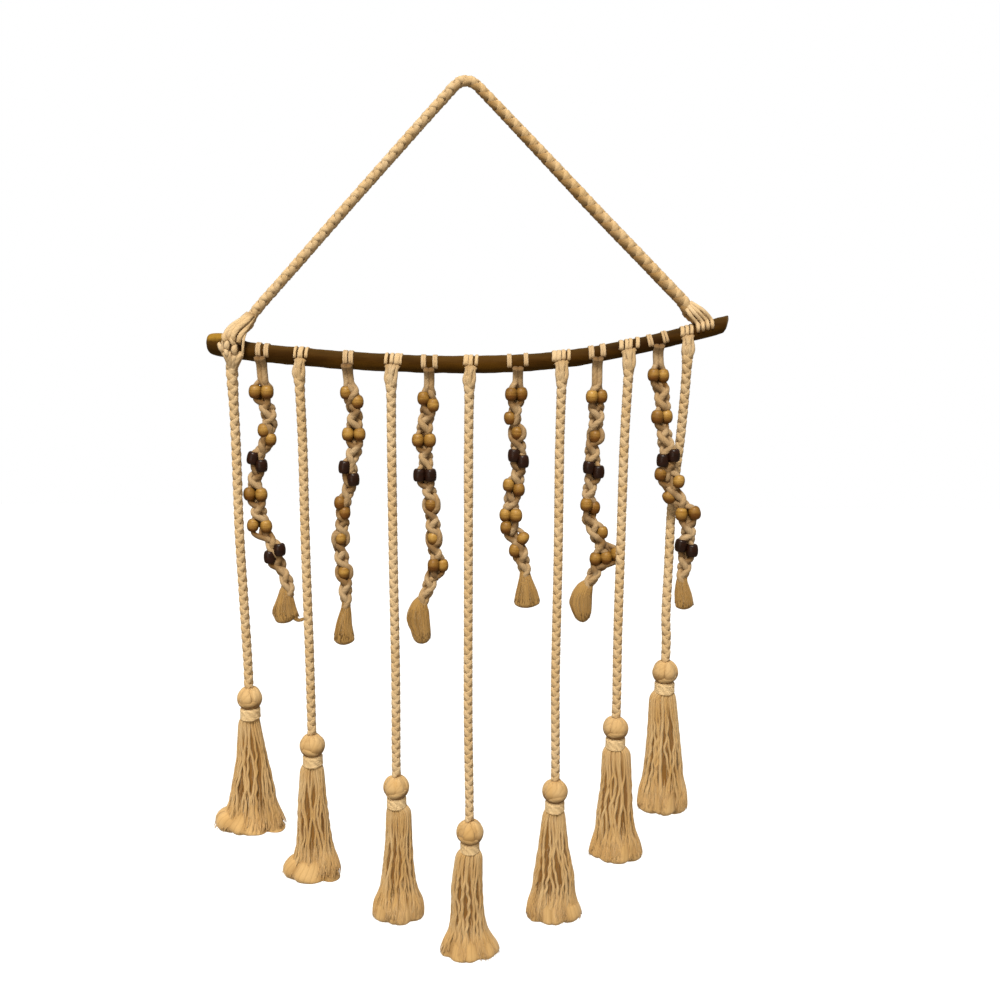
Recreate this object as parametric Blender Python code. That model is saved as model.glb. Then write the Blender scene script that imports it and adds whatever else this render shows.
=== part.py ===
"""Macrame wall hanging on a branch: braided cords, beaded sinnets and tassels.

Metres, +Z up, front towards -Y.  The origin is where the nail bears on the
underside of the hanging rope, so the whole piece hangs below it.  The wall
would stand just behind the tassels, at about Y = +0.026.
"""

import math

import bmesh
import bpy
from mathutils import Vector

# ---------------------------------------------------------------- dimensions
GAP = 0.0003                  # clearance between pieces that touch
ROPE_DIAMETER = 0.0125        # the hanging rope
CORD_DIAMETER = 0.0115        # the seven long cords
CORD_TOP_SCALE = 1.3          # a long cord is wider where it leaves its knot
CORD_TAPER_SCALE = 1.15       # and at the next point of its route
CORD_TOP_STRAIGHT = 0.018     # it runs straight down at its top and into its tassel
CORD_END_STRAIGHT = 0.030
KNOT_WRAP = 0.004             # thickness of the cord wrapped round the branch
WRAP_GROOVE = 0.55            # that thickness in the groove between two turns
SINNET_CORD = 0.0046          # diameter of the cord that the sinnets are tied from
BEAD_DIAMETER = 0.012
BEAD_HEIGHT = 0.013
BEAD_PROFILE = ((-0.5, 0.66), (-0.2, 1.0), (0.2, 1.0), (0.5, 0.66))   # height, width
WAIST_RADIUS = 0.0093         # a tassel's neck, under its binding
BINDING_WRAP = 0.0030         # thickness of the binding on that neck
BINDING_PROFILE = ((0.0, 0.0), (1.0, 0.12), (1.0, 0.88), (0.0, 1.0))   # thickness, height
SKIRT_FLATNESS = 0.68         # a skirt's depth over its width

BRANCH_SIDES = 12             # shared by the wraps, so that they nest on the branch
TASSEL_SIDES = 10
SINNET_SIDES = 8
BEAD_SIDES = 8

# The branch, from its left tip to its right tip.
BRANCH = [
    # x,     z,       radius
    (-0.298, -0.2815, 0.0095),
    (-0.291, -0.2812, 0.0122),
    (-0.278, -0.2825, 0.0132),
    (-0.264, -0.2860, 0.0116),
    (-0.245, -0.2895, 0.0106),
    (-0.203, -0.2930, 0.0105),
    (-0.157, -0.2970, 0.0105),
    (-0.104, -0.3000, 0.0104),
    (-0.042, -0.3025, 0.0102),
    (0.016, -0.3020, 0.0102),
    (0.060, -0.3005, 0.0101),
    (0.100, -0.2970, 0.0100),
    (0.131, -0.2930, 0.0098),
    (0.170, -0.2855, 0.0096),
    (0.211, -0.2770, 0.0094),
    (0.250, -0.2670, 0.0094),
    (0.283, -0.2590, 0.0097),
    (0.297, -0.2545, 0.0102),
]
TIP_SLANT = 0.22              # how far the sawn right tip leans, per metre of height

# The hanging rope's centre line between its two lashings, over the nail.
ROPE_ROUTE = [
    # x,     y,   z
    (-0.2470, 0.0, -0.2425), (-0.1900, 0.0, -0.1840), (-0.1300, 0.0, -0.1215),
    (-0.0700, 0.0, -0.0590), (-0.0240, 0.0, -0.0110), (-0.0100, 0.0, 0.0030),
    (0.0, 0.0, ROPE_DIAMETER / 2),
    (0.0100, 0.0, 0.0030), (0.0240, 0.0, -0.0100), (0.0700, 0.0, -0.0550),
    (0.1300, 0.0, -0.1130), (0.1900, 0.0, -0.1715), (0.2530, 0.0, -0.2310),
]
ROPE_END_X = {"lashing_left": -0.2600, "lashing_right": 0.2690}
ROPE_END_STRAIGHT = 0.003     # the rope's last stretch, straight down on its lashing

# Wraps round the branch that the rope and the long cords are tied with.
WRAPS = [
    # name,           x from, x to,    turns, wrap thickness, lump on top
    ("lashing_left", -0.2830, -0.2560, 4, 0.0045, 0.0075),
    ("lashing_right", 0.2625, 0.2830, 4, 0.0035, 0.0030),
    ("cord_knot_2", -0.1975, -0.1815, 3, KNOT_WRAP, 0.0),
    ("cord_knot_3", -0.0960, -0.0740, 4, KNOT_WRAP, 0.0),
    ("cord_knot_4", -0.0030, 0.0145, 3, KNOT_WRAP, 0.0),
    ("cord_knot_5", 0.0990, 0.1205, 4, KNOT_WRAP, 0.0),
    ("cord_knot_6", 0.1750, 0.1990, 4, KNOT_WRAP, 0.0),
    ("cord_knot_7", 0.2455, 0.2605, 3, KNOT_WRAP, 0.0),
]

# The long cords: where each leaves its knot, its route, and its tassel's head.
CORD_TOP_Y = -0.0060          # a cord leaves its knot in front of the branch
CORD_Y = -0.0030              # and hangs plumb in this plane
LONG_CORDS = [
    # number, wrap that holds it, x at top, middle of its route, x and z of the head, head radius
    (1, "lashing_left", -0.2665,
     [(-0.2665, CORD_Y, -0.400), (-0.2665, CORD_Y, -0.500), (-0.2648, CORD_Y, -0.600)],
     -0.2650, -0.708, 0.0145),
    (2, "cord_knot_2", -0.1895,
     [(-0.1892, CORD_Y, -0.400), (-0.1895, CORD_Y, -0.520), (-0.1885, CORD_Y, -0.650)],
     -0.1900, -0.769, 0.0150),
    (3, "cord_knot_3", -0.0845,
     [(-0.0857, CORD_Y, -0.400), (-0.0855, CORD_Y, -0.530), (-0.0847, CORD_Y, -0.680)],
     -0.0870, -0.824, 0.0155),
    (4, "cord_knot_4", 0.0050,
     [(0.0040, CORD_Y, -0.400), (0.0035, CORD_Y, -0.560), (0.0030, CORD_Y, -0.720)],
     0.0045, -0.884, 0.0160),
    (5, "cord_knot_5", 0.1100,
     [(0.1092, CORD_Y, -0.400), (0.1095, CORD_Y, -0.530), (0.1087, CORD_Y, -0.680)],
     0.1105, -0.828, 0.0155),
    (6, "cord_knot_6", 0.1865,
     [(0.1845, CORD_Y, -0.390), (0.1838, CORD_Y, -0.500), (0.1832, CORD_Y, -0.620)],
     0.1840, -0.744, 0.0150),
    (7, "cord_knot_7", 0.2535,
     [(0.2532, 0.0010, -0.340), (0.2510, 0.0085, -0.390), (0.2465, 0.0105, -0.430),
      (0.2415, 0.0095, -0.475), (0.2400, 0.0040, -0.530), (0.2388, CORD_Y, -0.600)],
     0.2420, -0.6715, 0.0150),
]

# The skirts: half widths to the left and right at each drop below the head's centre.
SKIRT_DROPS = (0.042, 0.075, 0.110, 0.148)
SKIRTS = {
    # tassel: drop of its end, (left half widths), (right half widths), the last ones just above the end
    1: (0.168, (0.015, 0.019, 0.026, 0.036, 0.050), (0.011, 0.018, 0.025, 0.031, 0.037)),
    2: (0.173, (0.016, 0.020, 0.022, 0.026, 0.040), (0.013, 0.016, 0.019, 0.028, 0.032)),
    3: (0.175, (0.013, 0.015, 0.019, 0.030, 0.033), (0.018, 0.019, 0.021, 0.032, 0.034)),
    4: (0.170, (0.018, 0.024, 0.024, 0.034, 0.039), (0.016, 0.016, 0.018, 0.031, 0.039)),
    5: (0.172, (0.015, 0.020, 0.025, 0.032, 0.034), (0.013, 0.018, 0.026, 0.030, 0.037)),
    6: (0.173, (0.016, 0.017, 0.021, 0.026, 0.030), (0.019, 0.022, 0.024, 0.034, 0.038)),
    7: (0.178, (0.018, 0.019, 0.021, 0.028, 0.030), (0.014, 0.020, 0.025, 0.032, 0.034)),
}
SKIRT_LIP = 0.007             # the widest ring's height above the end
SKIRT_END_SCALE = 0.86        # the flat end's width over the widest
HEAD_RINGS = (20, 55, 90, 128)   # rings of a ball head, in degrees from its top
NECK_FROM = 0.0165            # the neck's top and bottom, below the head's centre
NECK_TO = 0.0365

LEGS_HALF_WIDTH = 0.0046      # the two legs side by side, under the knot's loop
LOOP_FLATS = 0.90             # the six-sided loop is this much thinner across its flats

# The sinnets' mounting knots: middle, half the distance between the two bars.
SINNET_KNOTS = {
    # sinnet: x, half spread
    1: (-0.2355, 0.0047),
    2: (-0.1365, 0.0032),
    3: (-0.0425, 0.0065),
    4: (0.0597, 0.0095),
    5: (0.1510, 0.0068),
    6: (0.2205, 0.0085),
}

# How deep each kind of stretch is, and how far behind its sinnet's plane.
STRETCHES = {
    # kind:   half depth, set back
    "legs": (0.0026, 0.0),
    "knot": (0.0055, 0.0),
    "beads": (0.0060, 0.0),
    "core": (0.0019, 0.0042),
    "brush": (0.0048, 0.0),
}
BEAD_FORWARD = 0.0036         # the dark beads' axes stand this far before the plane

# Each sinnet hangs in its own plane, which it reaches between these two heights.
SINNET_TOP_Y = -0.0015
PLANE_FROM = -0.322
PLANE_TO = -0.395

SINNETS = {
    # sinnet: (y of its plane, [(z, x, half width, kind), ...])
    1: (0.0090, [
        (-0.326, -0.2345, 0.0070, "legs"), (-0.333, -0.2340, 0.0125, "beads"),
        (-0.345, -0.2325, 0.0130, "beads"), (-0.357, -0.2310, 0.0085, "knot"),
        (-0.378, -0.2315, 0.0095, "knot"), (-0.396, -0.2350, 0.0115, "knot"),
        (-0.4050, -0.2400, 0.0090, "knot"), (-0.4057, -0.2450, 0.0085, "core"),
        (-0.4293, -0.2480, 0.0080, "core"), (-0.4300, -0.2505, 0.0070, "knot"),
        (-0.448, -0.2520, 0.0075, "knot"), (-0.461, -0.2495, 0.0140, "beads"),
        (-0.478, -0.2480, 0.0085, "knot"), (-0.494, -0.2460, 0.0165, "beads"),
        (-0.508, -0.2400, 0.0085, "knot"), (-0.5155, -0.2350, 0.0075, "knot"),
        (-0.5162, -0.2310, 0.0090, "core"), (-0.5398, -0.2280, 0.0090, "core"),
        (-0.5405, -0.2265, 0.0070, "knot"), (-0.565, -0.2165, 0.0062, "knot"),
        (-0.592, -0.2145, 0.0145, "brush"), (-0.613, -0.2140, 0.0165, "brush"),
        (-0.620, -0.2120, 0.0070, "brush")]),
    2: (0.0010, [
        (-0.328, -0.1345, 0.0085, "legs"), (-0.336, -0.1325, 0.0120, "beads"),
        (-0.348, -0.1305, 0.0115, "beads"), (-0.360, -0.1295, 0.0080, "knot"),
        (-0.382, -0.1310, 0.0125, "beads"), (-0.395, -0.1300, 0.0095, "knot"),
        (-0.4140, -0.1330, 0.0080, "knot"), (-0.4147, -0.1370, 0.0085, "core"),
        (-0.4438, -0.1370, 0.0085, "core"), (-0.4445, -0.1360, 0.0075, "knot"),
        (-0.455, -0.1410, 0.0075, "knot"), (-0.470, -0.1460, 0.0100, "beads"),
        (-0.487, -0.1465, 0.0075, "knot"), (-0.507, -0.1500, 0.0090, "beads"),
        (-0.528, -0.1495, 0.0075, "knot"), (-0.549, -0.1460, 0.0090, "beads"),
        (-0.572, -0.1455, 0.0070, "knot"), (-0.590, -0.1450, 0.0045, "brush"),
        (-0.615, -0.1480, 0.0090, "brush"), (-0.638, -0.1485, 0.0130, "brush"),
        (-0.643, -0.1480, 0.0060, "brush")]),
    3: (0.0010, [
        (-0.332, -0.0430, 0.0075, "legs"), (-0.341, -0.0440, 0.0115, "beads"),
        (-0.353, -0.0435, 0.0115, "beads"), (-0.368, -0.0475, 0.0080, "knot"),
        (-0.380, -0.0490, 0.0135, "beads"), (-0.396, -0.0490, 0.0140, "beads"),
        (-0.408, -0.0470, 0.0085, "knot"), (-0.4230, -0.0475, 0.0070, "knot"),
        (-0.4237, -0.0485, 0.0105, "core"), (-0.4383, -0.0485, 0.0105, "core"),
        (-0.4390, -0.0455, 0.0080, "knot"), (-0.452, -0.0430, 0.0080, "knot"),
        (-0.467, -0.0410, 0.0095, "beads"), (-0.487, -0.0395, 0.0080, "knot"),
        (-0.507, -0.0390, 0.0090, "beads"), (-0.524, -0.0370, 0.0080, "knot"),
        (-0.540, -0.0350, 0.0115, "beads"), (-0.556, -0.0415, 0.0080, "knot"),
        (-0.575, -0.0480, 0.0070, "knot"), (-0.592, -0.0560, 0.0090, "brush"),
        (-0.620, -0.0570, 0.0135, "brush"), (-0.640, -0.0560, 0.0120, "brush"),
        (-0.645, -0.0550, 0.0060, "brush")]),
    4: (0.0010, [
        (-0.331, 0.0595, 0.0075, "legs"), (-0.337, 0.0575, 0.0115, "beads"),
        (-0.348, 0.0585, 0.0125, "beads"), (-0.362, 0.0540, 0.0095, "beads"),
        (-0.375, 0.0560, 0.0080, "knot"), (-0.385, 0.0600, 0.0085, "beads"),
        (-0.3990, 0.0615, 0.0085, "knot"), (-0.3997, 0.0610, 0.0095, "core"),
        (-0.4213, 0.0610, 0.0095, "core"), (-0.4220, 0.0635, 0.0075, "knot"),
        (-0.434, 0.0605, 0.0085, "knot"), (-0.445, 0.0560, 0.0120, "beads"),
        (-0.462, 0.0530, 0.0080, "knot"), (-0.479, 0.0530, 0.0120, "beads"),
        (-0.494, 0.0520, 0.0105, "beads"), (-0.508, 0.0620, 0.0115, "beads"),
        (-0.521, 0.0630, 0.0105, "beads"), (-0.536, 0.0685, 0.0075, "knot"),
        (-0.552, 0.0705, 0.0075, "brush"), (-0.572, 0.0725, 0.0120, "brush"),
        (-0.590, 0.0735, 0.0155, "brush"), (-0.595, 0.0740, 0.0070, "brush")]),
    5: (0.0085, [
        (-0.331, 0.1515, 0.0065, "legs"), (-0.336, 0.1500, 0.0110, "beads"),
        (-0.346, 0.1510, 0.0105, "beads"), (-0.362, 0.1525, 0.0080, "knot"),
        (-0.384, 0.1500, 0.0085, "beads"), (-0.399, 0.1480, 0.0080, "knot"),
        (-0.4135, 0.1490, 0.0085, "knot"), (-0.4142, 0.1500, 0.0085, "core"),
        (-0.4343, 0.1500, 0.0085, "core"), (-0.4350, 0.1480, 0.0075, "knot"),
        (-0.450, 0.1455, 0.0075, "knot"), (-0.467, 0.1465, 0.0115, "beads"),
        (-0.484, 0.1450, 0.0080, "knot"), (-0.500, 0.1550, 0.0105, "beads"),
        (-0.514, 0.1600, 0.0085, "knot"), (-0.529, 0.1650, 0.0155, "beads"),
        (-0.540, 0.1590, 0.0085, "knot"), (-0.555, 0.1525, 0.0075, "knot"),
        (-0.568, 0.1470, 0.0070, "brush"), (-0.592, 0.1370, 0.0120, "brush"),
        (-0.612, 0.1410, 0.0065, "brush"), (-0.618, 0.1415, 0.0025, "brush")]),
    6: (-0.0085, [
        (-0.300, 0.2215, 0.0085, "legs"), (-0.310, 0.2225, 0.0115, "beads"),
        (-0.320, 0.2235, 0.0110, "beads"), (-0.334, 0.2265, 0.0080, "knot"),
        (-0.359, 0.2280, 0.0110, "beads"), (-0.374, 0.2300, 0.0085, "knot"),
        (-0.3965, 0.2325, 0.0095, "knot"), (-0.3972, 0.2350, 0.0090, "core"),
        (-0.4178, 0.2350, 0.0090, "core"), (-0.4185, 0.2355, 0.0085, "knot"),
        (-0.429, 0.2400, 0.0155, "beads"), (-0.442, 0.2430, 0.0120, "beads"),
        (-0.456, 0.2480, 0.0145, "beads"), (-0.475, 0.2610, 0.0145, "beads"),
        (-0.490, 0.2625, 0.0080, "knot"), (-0.5035, 0.2630, 0.0080, "knot"),
        (-0.5042, 0.2605, 0.0110, "core"), (-0.5248, 0.2600, 0.0110, "core"),
        (-0.5255, 0.2605, 0.0075, "knot"), (-0.545, 0.2585, 0.0070, "knot"),
        (-0.555, 0.2565, 0.0065, "brush"), (-0.572, 0.2590, 0.0095, "brush"),
        (-0.588, 0.2615, 0.0105, "brush"), (-0.593, 0.2620, 0.0055, "brush")]),
}

# The dark beads, in pairs across a sinnet: left bead, then right bead.
DARK_BEADS = [
    # sinnet, pair, (x, z) of the left bead, (x, z) of the right bead
    (1, 1, (-0.2515, -0.4130), (-0.2420, -0.4220)),
    (1, 2, (-0.2360, -0.5325), (-0.2240, -0.5235)),
    (2, 1, (-0.1425, -0.4220), (-0.1325, -0.4365)),
    (3, 1, (-0.0550, -0.4310), (-0.0420, -0.4310)),
    (4, 1, (0.0560, -0.4070), (0.0664, -0.4140)),
    (5, 1, (0.1446, -0.4215), (0.1559, -0.4270)),
    (6, 1, (0.2285, -0.4105), (0.2412, -0.4045)),
    (6, 2, (0.2535, -0.5115), (0.2668, -0.5175)),
]

# colour, roughness
FINISHES = {
    "cord": ((0.66, 0.44, 0.22), 0.90),
    "tassel": ((0.55, 0.34, 0.13), 0.95),
    "bark": ((0.06, 0.03, 0.01), 0.60),
    "dark_wood": ((0.02, 0.008, 0.005), 0.30),
}


# ------------------------------------------------------------------- helpers
def clear_scene():
    """Start from an empty file."""
    for obj in list(bpy.data.objects):
        bpy.data.objects.remove(obj, do_unlink=True)


def finish_material(name):
    """The Principled material of one finish, made once."""
    material = bpy.data.materials.get(name)
    if material is None:
        colour, roughness = FINISHES[name]
        material = bpy.data.materials.new(name)
        material.use_nodes = True
        shader = material.node_tree.nodes["Principled BSDF"]
        shader.inputs["Base Color"].default_value = (*colour, 1.0)
        shader.inputs["Roughness"].default_value = roughness
    return material


def link_object(name, data, finish):
    """Put a mesh or a curve in the scene as one named object."""
    data.materials.append(finish_material(finish))
    obj = bpy.data.objects.new(name, data)
    bpy.context.collection.objects.link(obj)
    return obj


def smooth_points(route, spacing):
    """Points about `spacing` apart on a smooth curve through the route."""
    points = [Vector(p) for p in route]
    ends = [2 * points[0] - points[1], *points, 2 * points[-1] - points[-2]]
    result = [points[0]]
    for i in range(1, len(ends) - 2):
        before, start, end, after = ends[i - 1:i + 3]
        steps = max(1, round((end - start).length / spacing))
        for k in range(1, steps + 1):
            t = k / steps
            result.append(0.5 * (2 * start + (end - before) * t
                                 + (2 * before - 5 * start + 4 * end - after) * t ** 2
                                 + (3 * start - before - 3 * end + after) * t ** 3))
    return result


def add_tube(name, points, diameter, finish, sides_level=2, scales=None):
    """A round tube along the points, with filled ends."""
    curve = bpy.data.curves.new(name, "CURVE")
    curve.dimensions = "3D"
    curve.bevel_depth = diameter / 2
    curve.bevel_resolution = sides_level
    curve.use_fill_caps = True
    spline = curve.splines.new("POLY")
    spline.points.add(len(points) - 1)
    for i, point in enumerate(points):
        spline.points[i].co = (*point, 1.0)
        spline.points[i].radius = scales[i] if scales else 1.0
    return link_object(name, curve, finish)


def add_loft(name, sections, finish, closed=False):
    """A skin over equal sections, capped at its ends, or closed on itself."""
    bm = bmesh.new()
    rings = [[bm.verts.new(p) for p in section] for section in sections]
    pairs = list(zip(rings, rings[1:]))
    if closed:
        pairs.append((rings[-1], rings[0]))
    for ring, following in pairs:
        for i in range(len(ring)):
            j = (i + 1) % len(ring)
            bm.faces.new((ring[i], ring[j], following[j], following[i]))
    if not closed:
        bm.faces.new(reversed(rings[0]))
        bm.faces.new(rings[-1])
    bmesh.ops.recalc_face_normals(bm, faces=bm.faces)
    mesh = bpy.data.meshes.new(name)
    bm.to_mesh(mesh)
    bm.free()
    mesh.shade_smooth()
    mesh.set_sharp_from_angle(angle=math.radians(40))
    return link_object(name, mesh, finish)


def level_ring(x, y, z, half_x, half_y, sides):
    """An ellipse in a level plane, with flats facing front and back."""
    turn = 2 * math.pi / sides
    return [Vector((x + half_x * math.cos((k + 0.5) * turn), y + half_y * math.sin((k + 0.5) * turn), z))
            for k in range(sides)]


def branch_at(x):
    """The branch's centre height and radius at x, between the rows of BRANCH."""
    for (x0, z0, r0), (x1, z1, r1) in zip(BRANCH, BRANCH[1:]):
        if x <= x1:
            t = (x - x0) / (x1 - x0)
            return z0 + (z1 - z0) * t, r0 + (r1 - r0) * t
    return BRANCH[-1][1:]


def branch_ring(x, extra=0.0, lump=0.0, slant=0.0):
    """A ring round the branch at x, `extra` outside its bark, higher on top by a lump."""
    z, radius = branch_at(x)
    ring = []
    for k in range(BRANCH_SIDES):
        angle = 2 * math.pi * k / BRANCH_SIDES
        reach = radius + extra + lump * max(0.0, math.sin(angle)) ** 2
        height = reach * math.sin(angle)
        ring.append(Vector((x + slant * height, reach * math.cos(angle), z + height)))
    return ring


# ----------------------------------------------------------------- the parts
def build_branch():
    """The bowed branch, its right tip sawn at a slant."""
    last = BRANCH[-1][0]
    add_loft("branch", [branch_ring(x, slant=TIP_SLANT if x == last else 0.0) for x, _, _ in BRANCH], "bark")


def build_wrap(name, x_from, x_to, turns, thickness, lump):
    """A sleeve of rope turns round the branch, closed through its own inside."""
    pitch = (x_to - x_from) / turns
    sections = []
    for i in range(2 * turns + 1):
        crest = i % 2 == 1
        reach = thickness if crest else WRAP_GROOVE * thickness
        swell = lump * math.sin(math.pi * i / (2 * turns))
        sections.append(branch_ring(x_from + pitch * i / 2, GAP + reach, swell))
    inside = [x for x, _, _ in reversed(BRANCH) if x_from < x < x_to]
    for x in (x_to, *inside, x_from):
        sections.append(branch_ring(x, GAP))
    add_loft(name, sections, "cord", closed=True)


def wrap_surface(name, x, half_width, side):
    """A named wrap's highest (side 1) or lowest (side -1) point within half_width of x."""
    _, x_from, x_to, _, thickness, lump = next(row for row in WRAPS if row[0] == name)
    heights = []
    for k in range(-4, 5):
        at = min(x_to, max(x_from, x + half_width * k / 4))
        z, radius = branch_at(at)
        swell = lump * math.sin(math.pi * (at - x_from) / (x_to - x_from)) if side > 0 else 0.0
        heights.append(z + side * (radius + GAP + thickness + swell))
    return max(heights) if side > 0 else min(heights)


def build_rope():
    """The hanging rope, from the top of one lashing over the nail to the other."""
    ends = []
    for name, x in ROPE_END_X.items():
        end = wrap_surface(name, x, ROPE_DIAMETER / 2, 1) + GAP
        ends.append([(x, 0.0, end), (x, 0.0, end + ROPE_END_STRAIGHT)])
    route = [*ends[0], *ROPE_ROUTE, *reversed(ends[1])]
    add_tube("hanging_rope", smooth_points(route, 3 * ROPE_DIAMETER), ROPE_DIAMETER, "cord")


def knot_turn(number, side):
    """Where one turn of a sinnet's knot lies: its x, and its centre height and radius."""
    middle, spread = SINNET_KNOTS[number]
    x = middle + side * spread
    z, radius = branch_at(x)
    return x, z, radius + 2 * GAP + SINNET_CORD / 2


def build_sinnet_knot(number):
    """A lark's head: two turns round the branch, joined by the loop under its front."""
    degrees = [-45, *range(-30, 271, 30)]
    points = []
    for side in (-1, 1):
        x, z, reach = knot_turn(number, side)
        # from behind, up the back, over the top and down the front to the underside
        turn = [Vector((x, reach * math.cos(math.radians(d)), z + reach * math.sin(math.radians(d))))
                for d in degrees]
        points += turn if side < 0 else reversed(turn)
    add_tube(f"sinnet_knot_{number}", points, SINNET_CORD, "cord", sides_level=1)


def sinnet_top(number):
    """The height just below the loop that a sinnet's legs come through."""
    (x0, z0, reach0), (x1, z1, reach1) = knot_turn(number, -1), knot_turn(number, 1)
    slope = abs((z1 - reach1) - (z0 - reach0)) / (x1 - x0)
    loop_radius = SINNET_CORD / 2 * LOOP_FLATS
    return (z0 - reach0 + z1 - reach1) / 2 - slope * LEGS_HALF_WIDTH - loop_radius - GAP


def plane_y(plane, z):
    """How far forward a sinnet hangs at height z."""
    t = min(1.0, max(0.0, (PLANE_FROM - z) / (PLANE_FROM - PLANE_TO)))
    return SINNET_TOP_Y + (plane - SINNET_TOP_Y) * t


def build_sinnet(number):
    """One beaded sinnet, from its two straight legs to its combed end."""
    plane, rows = SINNETS[number]
    top = (sinnet_top(number), SINNET_KNOTS[number][0], LEGS_HALF_WIDTH, "legs")
    sections = []
    for z, x, half_width, kind in [top, *rows]:
        half_depth, back = STRETCHES[kind]
        sections.append(level_ring(x, plane_y(plane, z) + back, z, half_width, half_depth, SINNET_SIDES))
    add_loft(f"sinnet_{number}", sections, "cord")


def build_dark_bead(number, pair, side, x, z):
    """A barrel bead, threaded on one of the sinnet's cords."""
    plane = SINNETS[number][0]
    y = plane_y(plane, z) - BEAD_FORWARD
    radius = BEAD_DIAMETER / 2
    sections = []
    for height, scale in BEAD_PROFILE:
        half = radius * scale
        sections.append(level_ring(x, y, z + BEAD_HEIGHT * height, half, half, BEAD_SIDES))
    add_loft(f"dark_bead_{number}_{pair}{side}", sections, "dark_wood")


def build_cord(number, wrap, x_top, middle, head_x, head_z, head_radius):
    """A long cord from its knot down to its tassel's head."""
    top_radius = CORD_TOP_SCALE * CORD_DIAMETER / 2
    under_wrap = math.sqrt(top_radius ** 2 - CORD_TOP_Y ** 2)
    top = wrap_surface(wrap, x_top, under_wrap, -1) - GAP
    end = head_z + head_radius * math.cos(math.radians(HEAD_RINGS[0])) + GAP
    route = [(x_top, CORD_TOP_Y, top), (x_top, CORD_TOP_Y, top - CORD_TOP_STRAIGHT), *middle,
             (head_x, CORD_Y, end + CORD_END_STRAIGHT), (head_x, CORD_Y, end)]
    points = smooth_points(route, 3 * CORD_DIAMETER)
    scales = [CORD_TOP_SCALE, CORD_TAPER_SCALE] + [1.0] * (len(points) - 2)
    add_tube(f"cord_{number}", points, CORD_DIAMETER, "cord", scales=scales)


def build_tassel(number, head_x, head_z, head_radius):
    """A ball head, a bound neck and an uneven skirt."""
    sections = []
    for degrees in HEAD_RINGS:
        angle = math.radians(degrees)
        half = head_radius * math.sin(angle)
        sections.append(level_ring(head_x, CORD_Y, head_z + head_radius * math.cos(angle), half, half,
                                   TASSEL_SIDES))
    for drop in (NECK_FROM, NECK_TO):
        sections.append(level_ring(head_x, CORD_Y, head_z - drop, WAIST_RADIUS, WAIST_RADIUS, TASSEL_SIDES))
    end, lefts, rights = SKIRTS[number]
    for drop, left, right in zip((*SKIRT_DROPS, end - SKIRT_LIP), lefts, rights):
        sections.append(skirt_ring(head_x, head_z - drop, left, right))
    sections.append(skirt_ring(head_x, head_z - end, SKIRT_END_SCALE * lefts[-1], SKIRT_END_SCALE * rights[-1]))
    add_loft(f"tassel_{number}", sections, "tassel")


def skirt_ring(x, z, left, right):
    """A level section of a skirt that reaches left and right of x by different amounts."""
    half = (left + right) / 2
    depth = max(WAIST_RADIUS, SKIRT_FLATNESS * half)
    return level_ring(x + (right - left) / 2, CORD_Y, z, half, depth, TASSEL_SIDES)


def build_binding(number, head_x, head_z):
    """The cord wound round a tassel's neck."""
    inner = WAIST_RADIUS + GAP
    height = NECK_TO - NECK_FROM - 4 * GAP
    low = head_z - NECK_TO + 2 * GAP
    sections = []
    for thickness, level in BINDING_PROFILE:
        reach = inner + BINDING_WRAP * thickness
        sections.append(level_ring(head_x, CORD_Y, low + height * level, reach, reach, TASSEL_SIDES))
    add_loft(f"binding_{number}", sections, "cord", closed=True)


def main():
    clear_scene()
    build_branch()
    for row in WRAPS:
        build_wrap(*row)
    build_rope()
    for number, wrap, x_top, middle, head_x, head_z, head_radius in LONG_CORDS:
        build_cord(number, wrap, x_top, middle, head_x, head_z, head_radius)
        build_tassel(number, head_x, head_z, head_radius)
        build_binding(number, head_x, head_z)
    for number in SINNETS:
        build_sinnet_knot(number)
        build_sinnet(number)
    for number, pair, left, right in DARK_BEADS:
        build_dark_bead(number, pair, "a", *left)
        build_dark_bead(number, pair, "b", *right)


main()
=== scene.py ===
# %% [markdown]
# # A macrame wall hanging, as a lesson in cells
#
# Seven braided cotton cords with tassels and six beaded sinnets hang from a dark,
# bowed branch, and one braided rope carries the branch from a nail.  The packed
# model already has every piece in its true place as a plain solid.  Here each
# plain solid is replaced by one that shows how it was really made: plies, knots,
# turned beads and combed-out yarn.  Everything is in metres, +Z is up, the front
# looks towards -Y, and the nail is at the origin.

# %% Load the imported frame
import math

import bpy
import numpy as np
from mathutils import Matrix, Vector


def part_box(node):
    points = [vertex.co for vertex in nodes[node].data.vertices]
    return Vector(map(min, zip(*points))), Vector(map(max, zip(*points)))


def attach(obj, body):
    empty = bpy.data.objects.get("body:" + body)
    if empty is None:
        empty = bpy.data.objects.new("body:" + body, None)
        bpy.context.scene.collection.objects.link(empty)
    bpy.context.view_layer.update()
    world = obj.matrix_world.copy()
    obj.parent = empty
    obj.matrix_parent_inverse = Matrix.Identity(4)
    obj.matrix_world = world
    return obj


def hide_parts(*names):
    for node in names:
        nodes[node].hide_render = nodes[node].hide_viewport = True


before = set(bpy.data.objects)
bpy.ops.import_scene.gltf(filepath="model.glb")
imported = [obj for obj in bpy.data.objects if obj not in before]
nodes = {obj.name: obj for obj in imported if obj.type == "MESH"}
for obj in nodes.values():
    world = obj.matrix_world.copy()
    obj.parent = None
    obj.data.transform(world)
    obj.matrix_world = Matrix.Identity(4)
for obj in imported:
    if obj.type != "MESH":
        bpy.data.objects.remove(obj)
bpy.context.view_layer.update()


# %% [markdown]
# ## Nothing selected to start with
#
# Loading leaves every plain solid selected, and an operator acts on all that is
# selected.  So one helper lets go of everything, and another picks one object.

# %% Selection helpers
def let_go():
    """Deselect every object."""
    for obj in bpy.context.selected_objects:
        obj.select_set(False)


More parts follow.
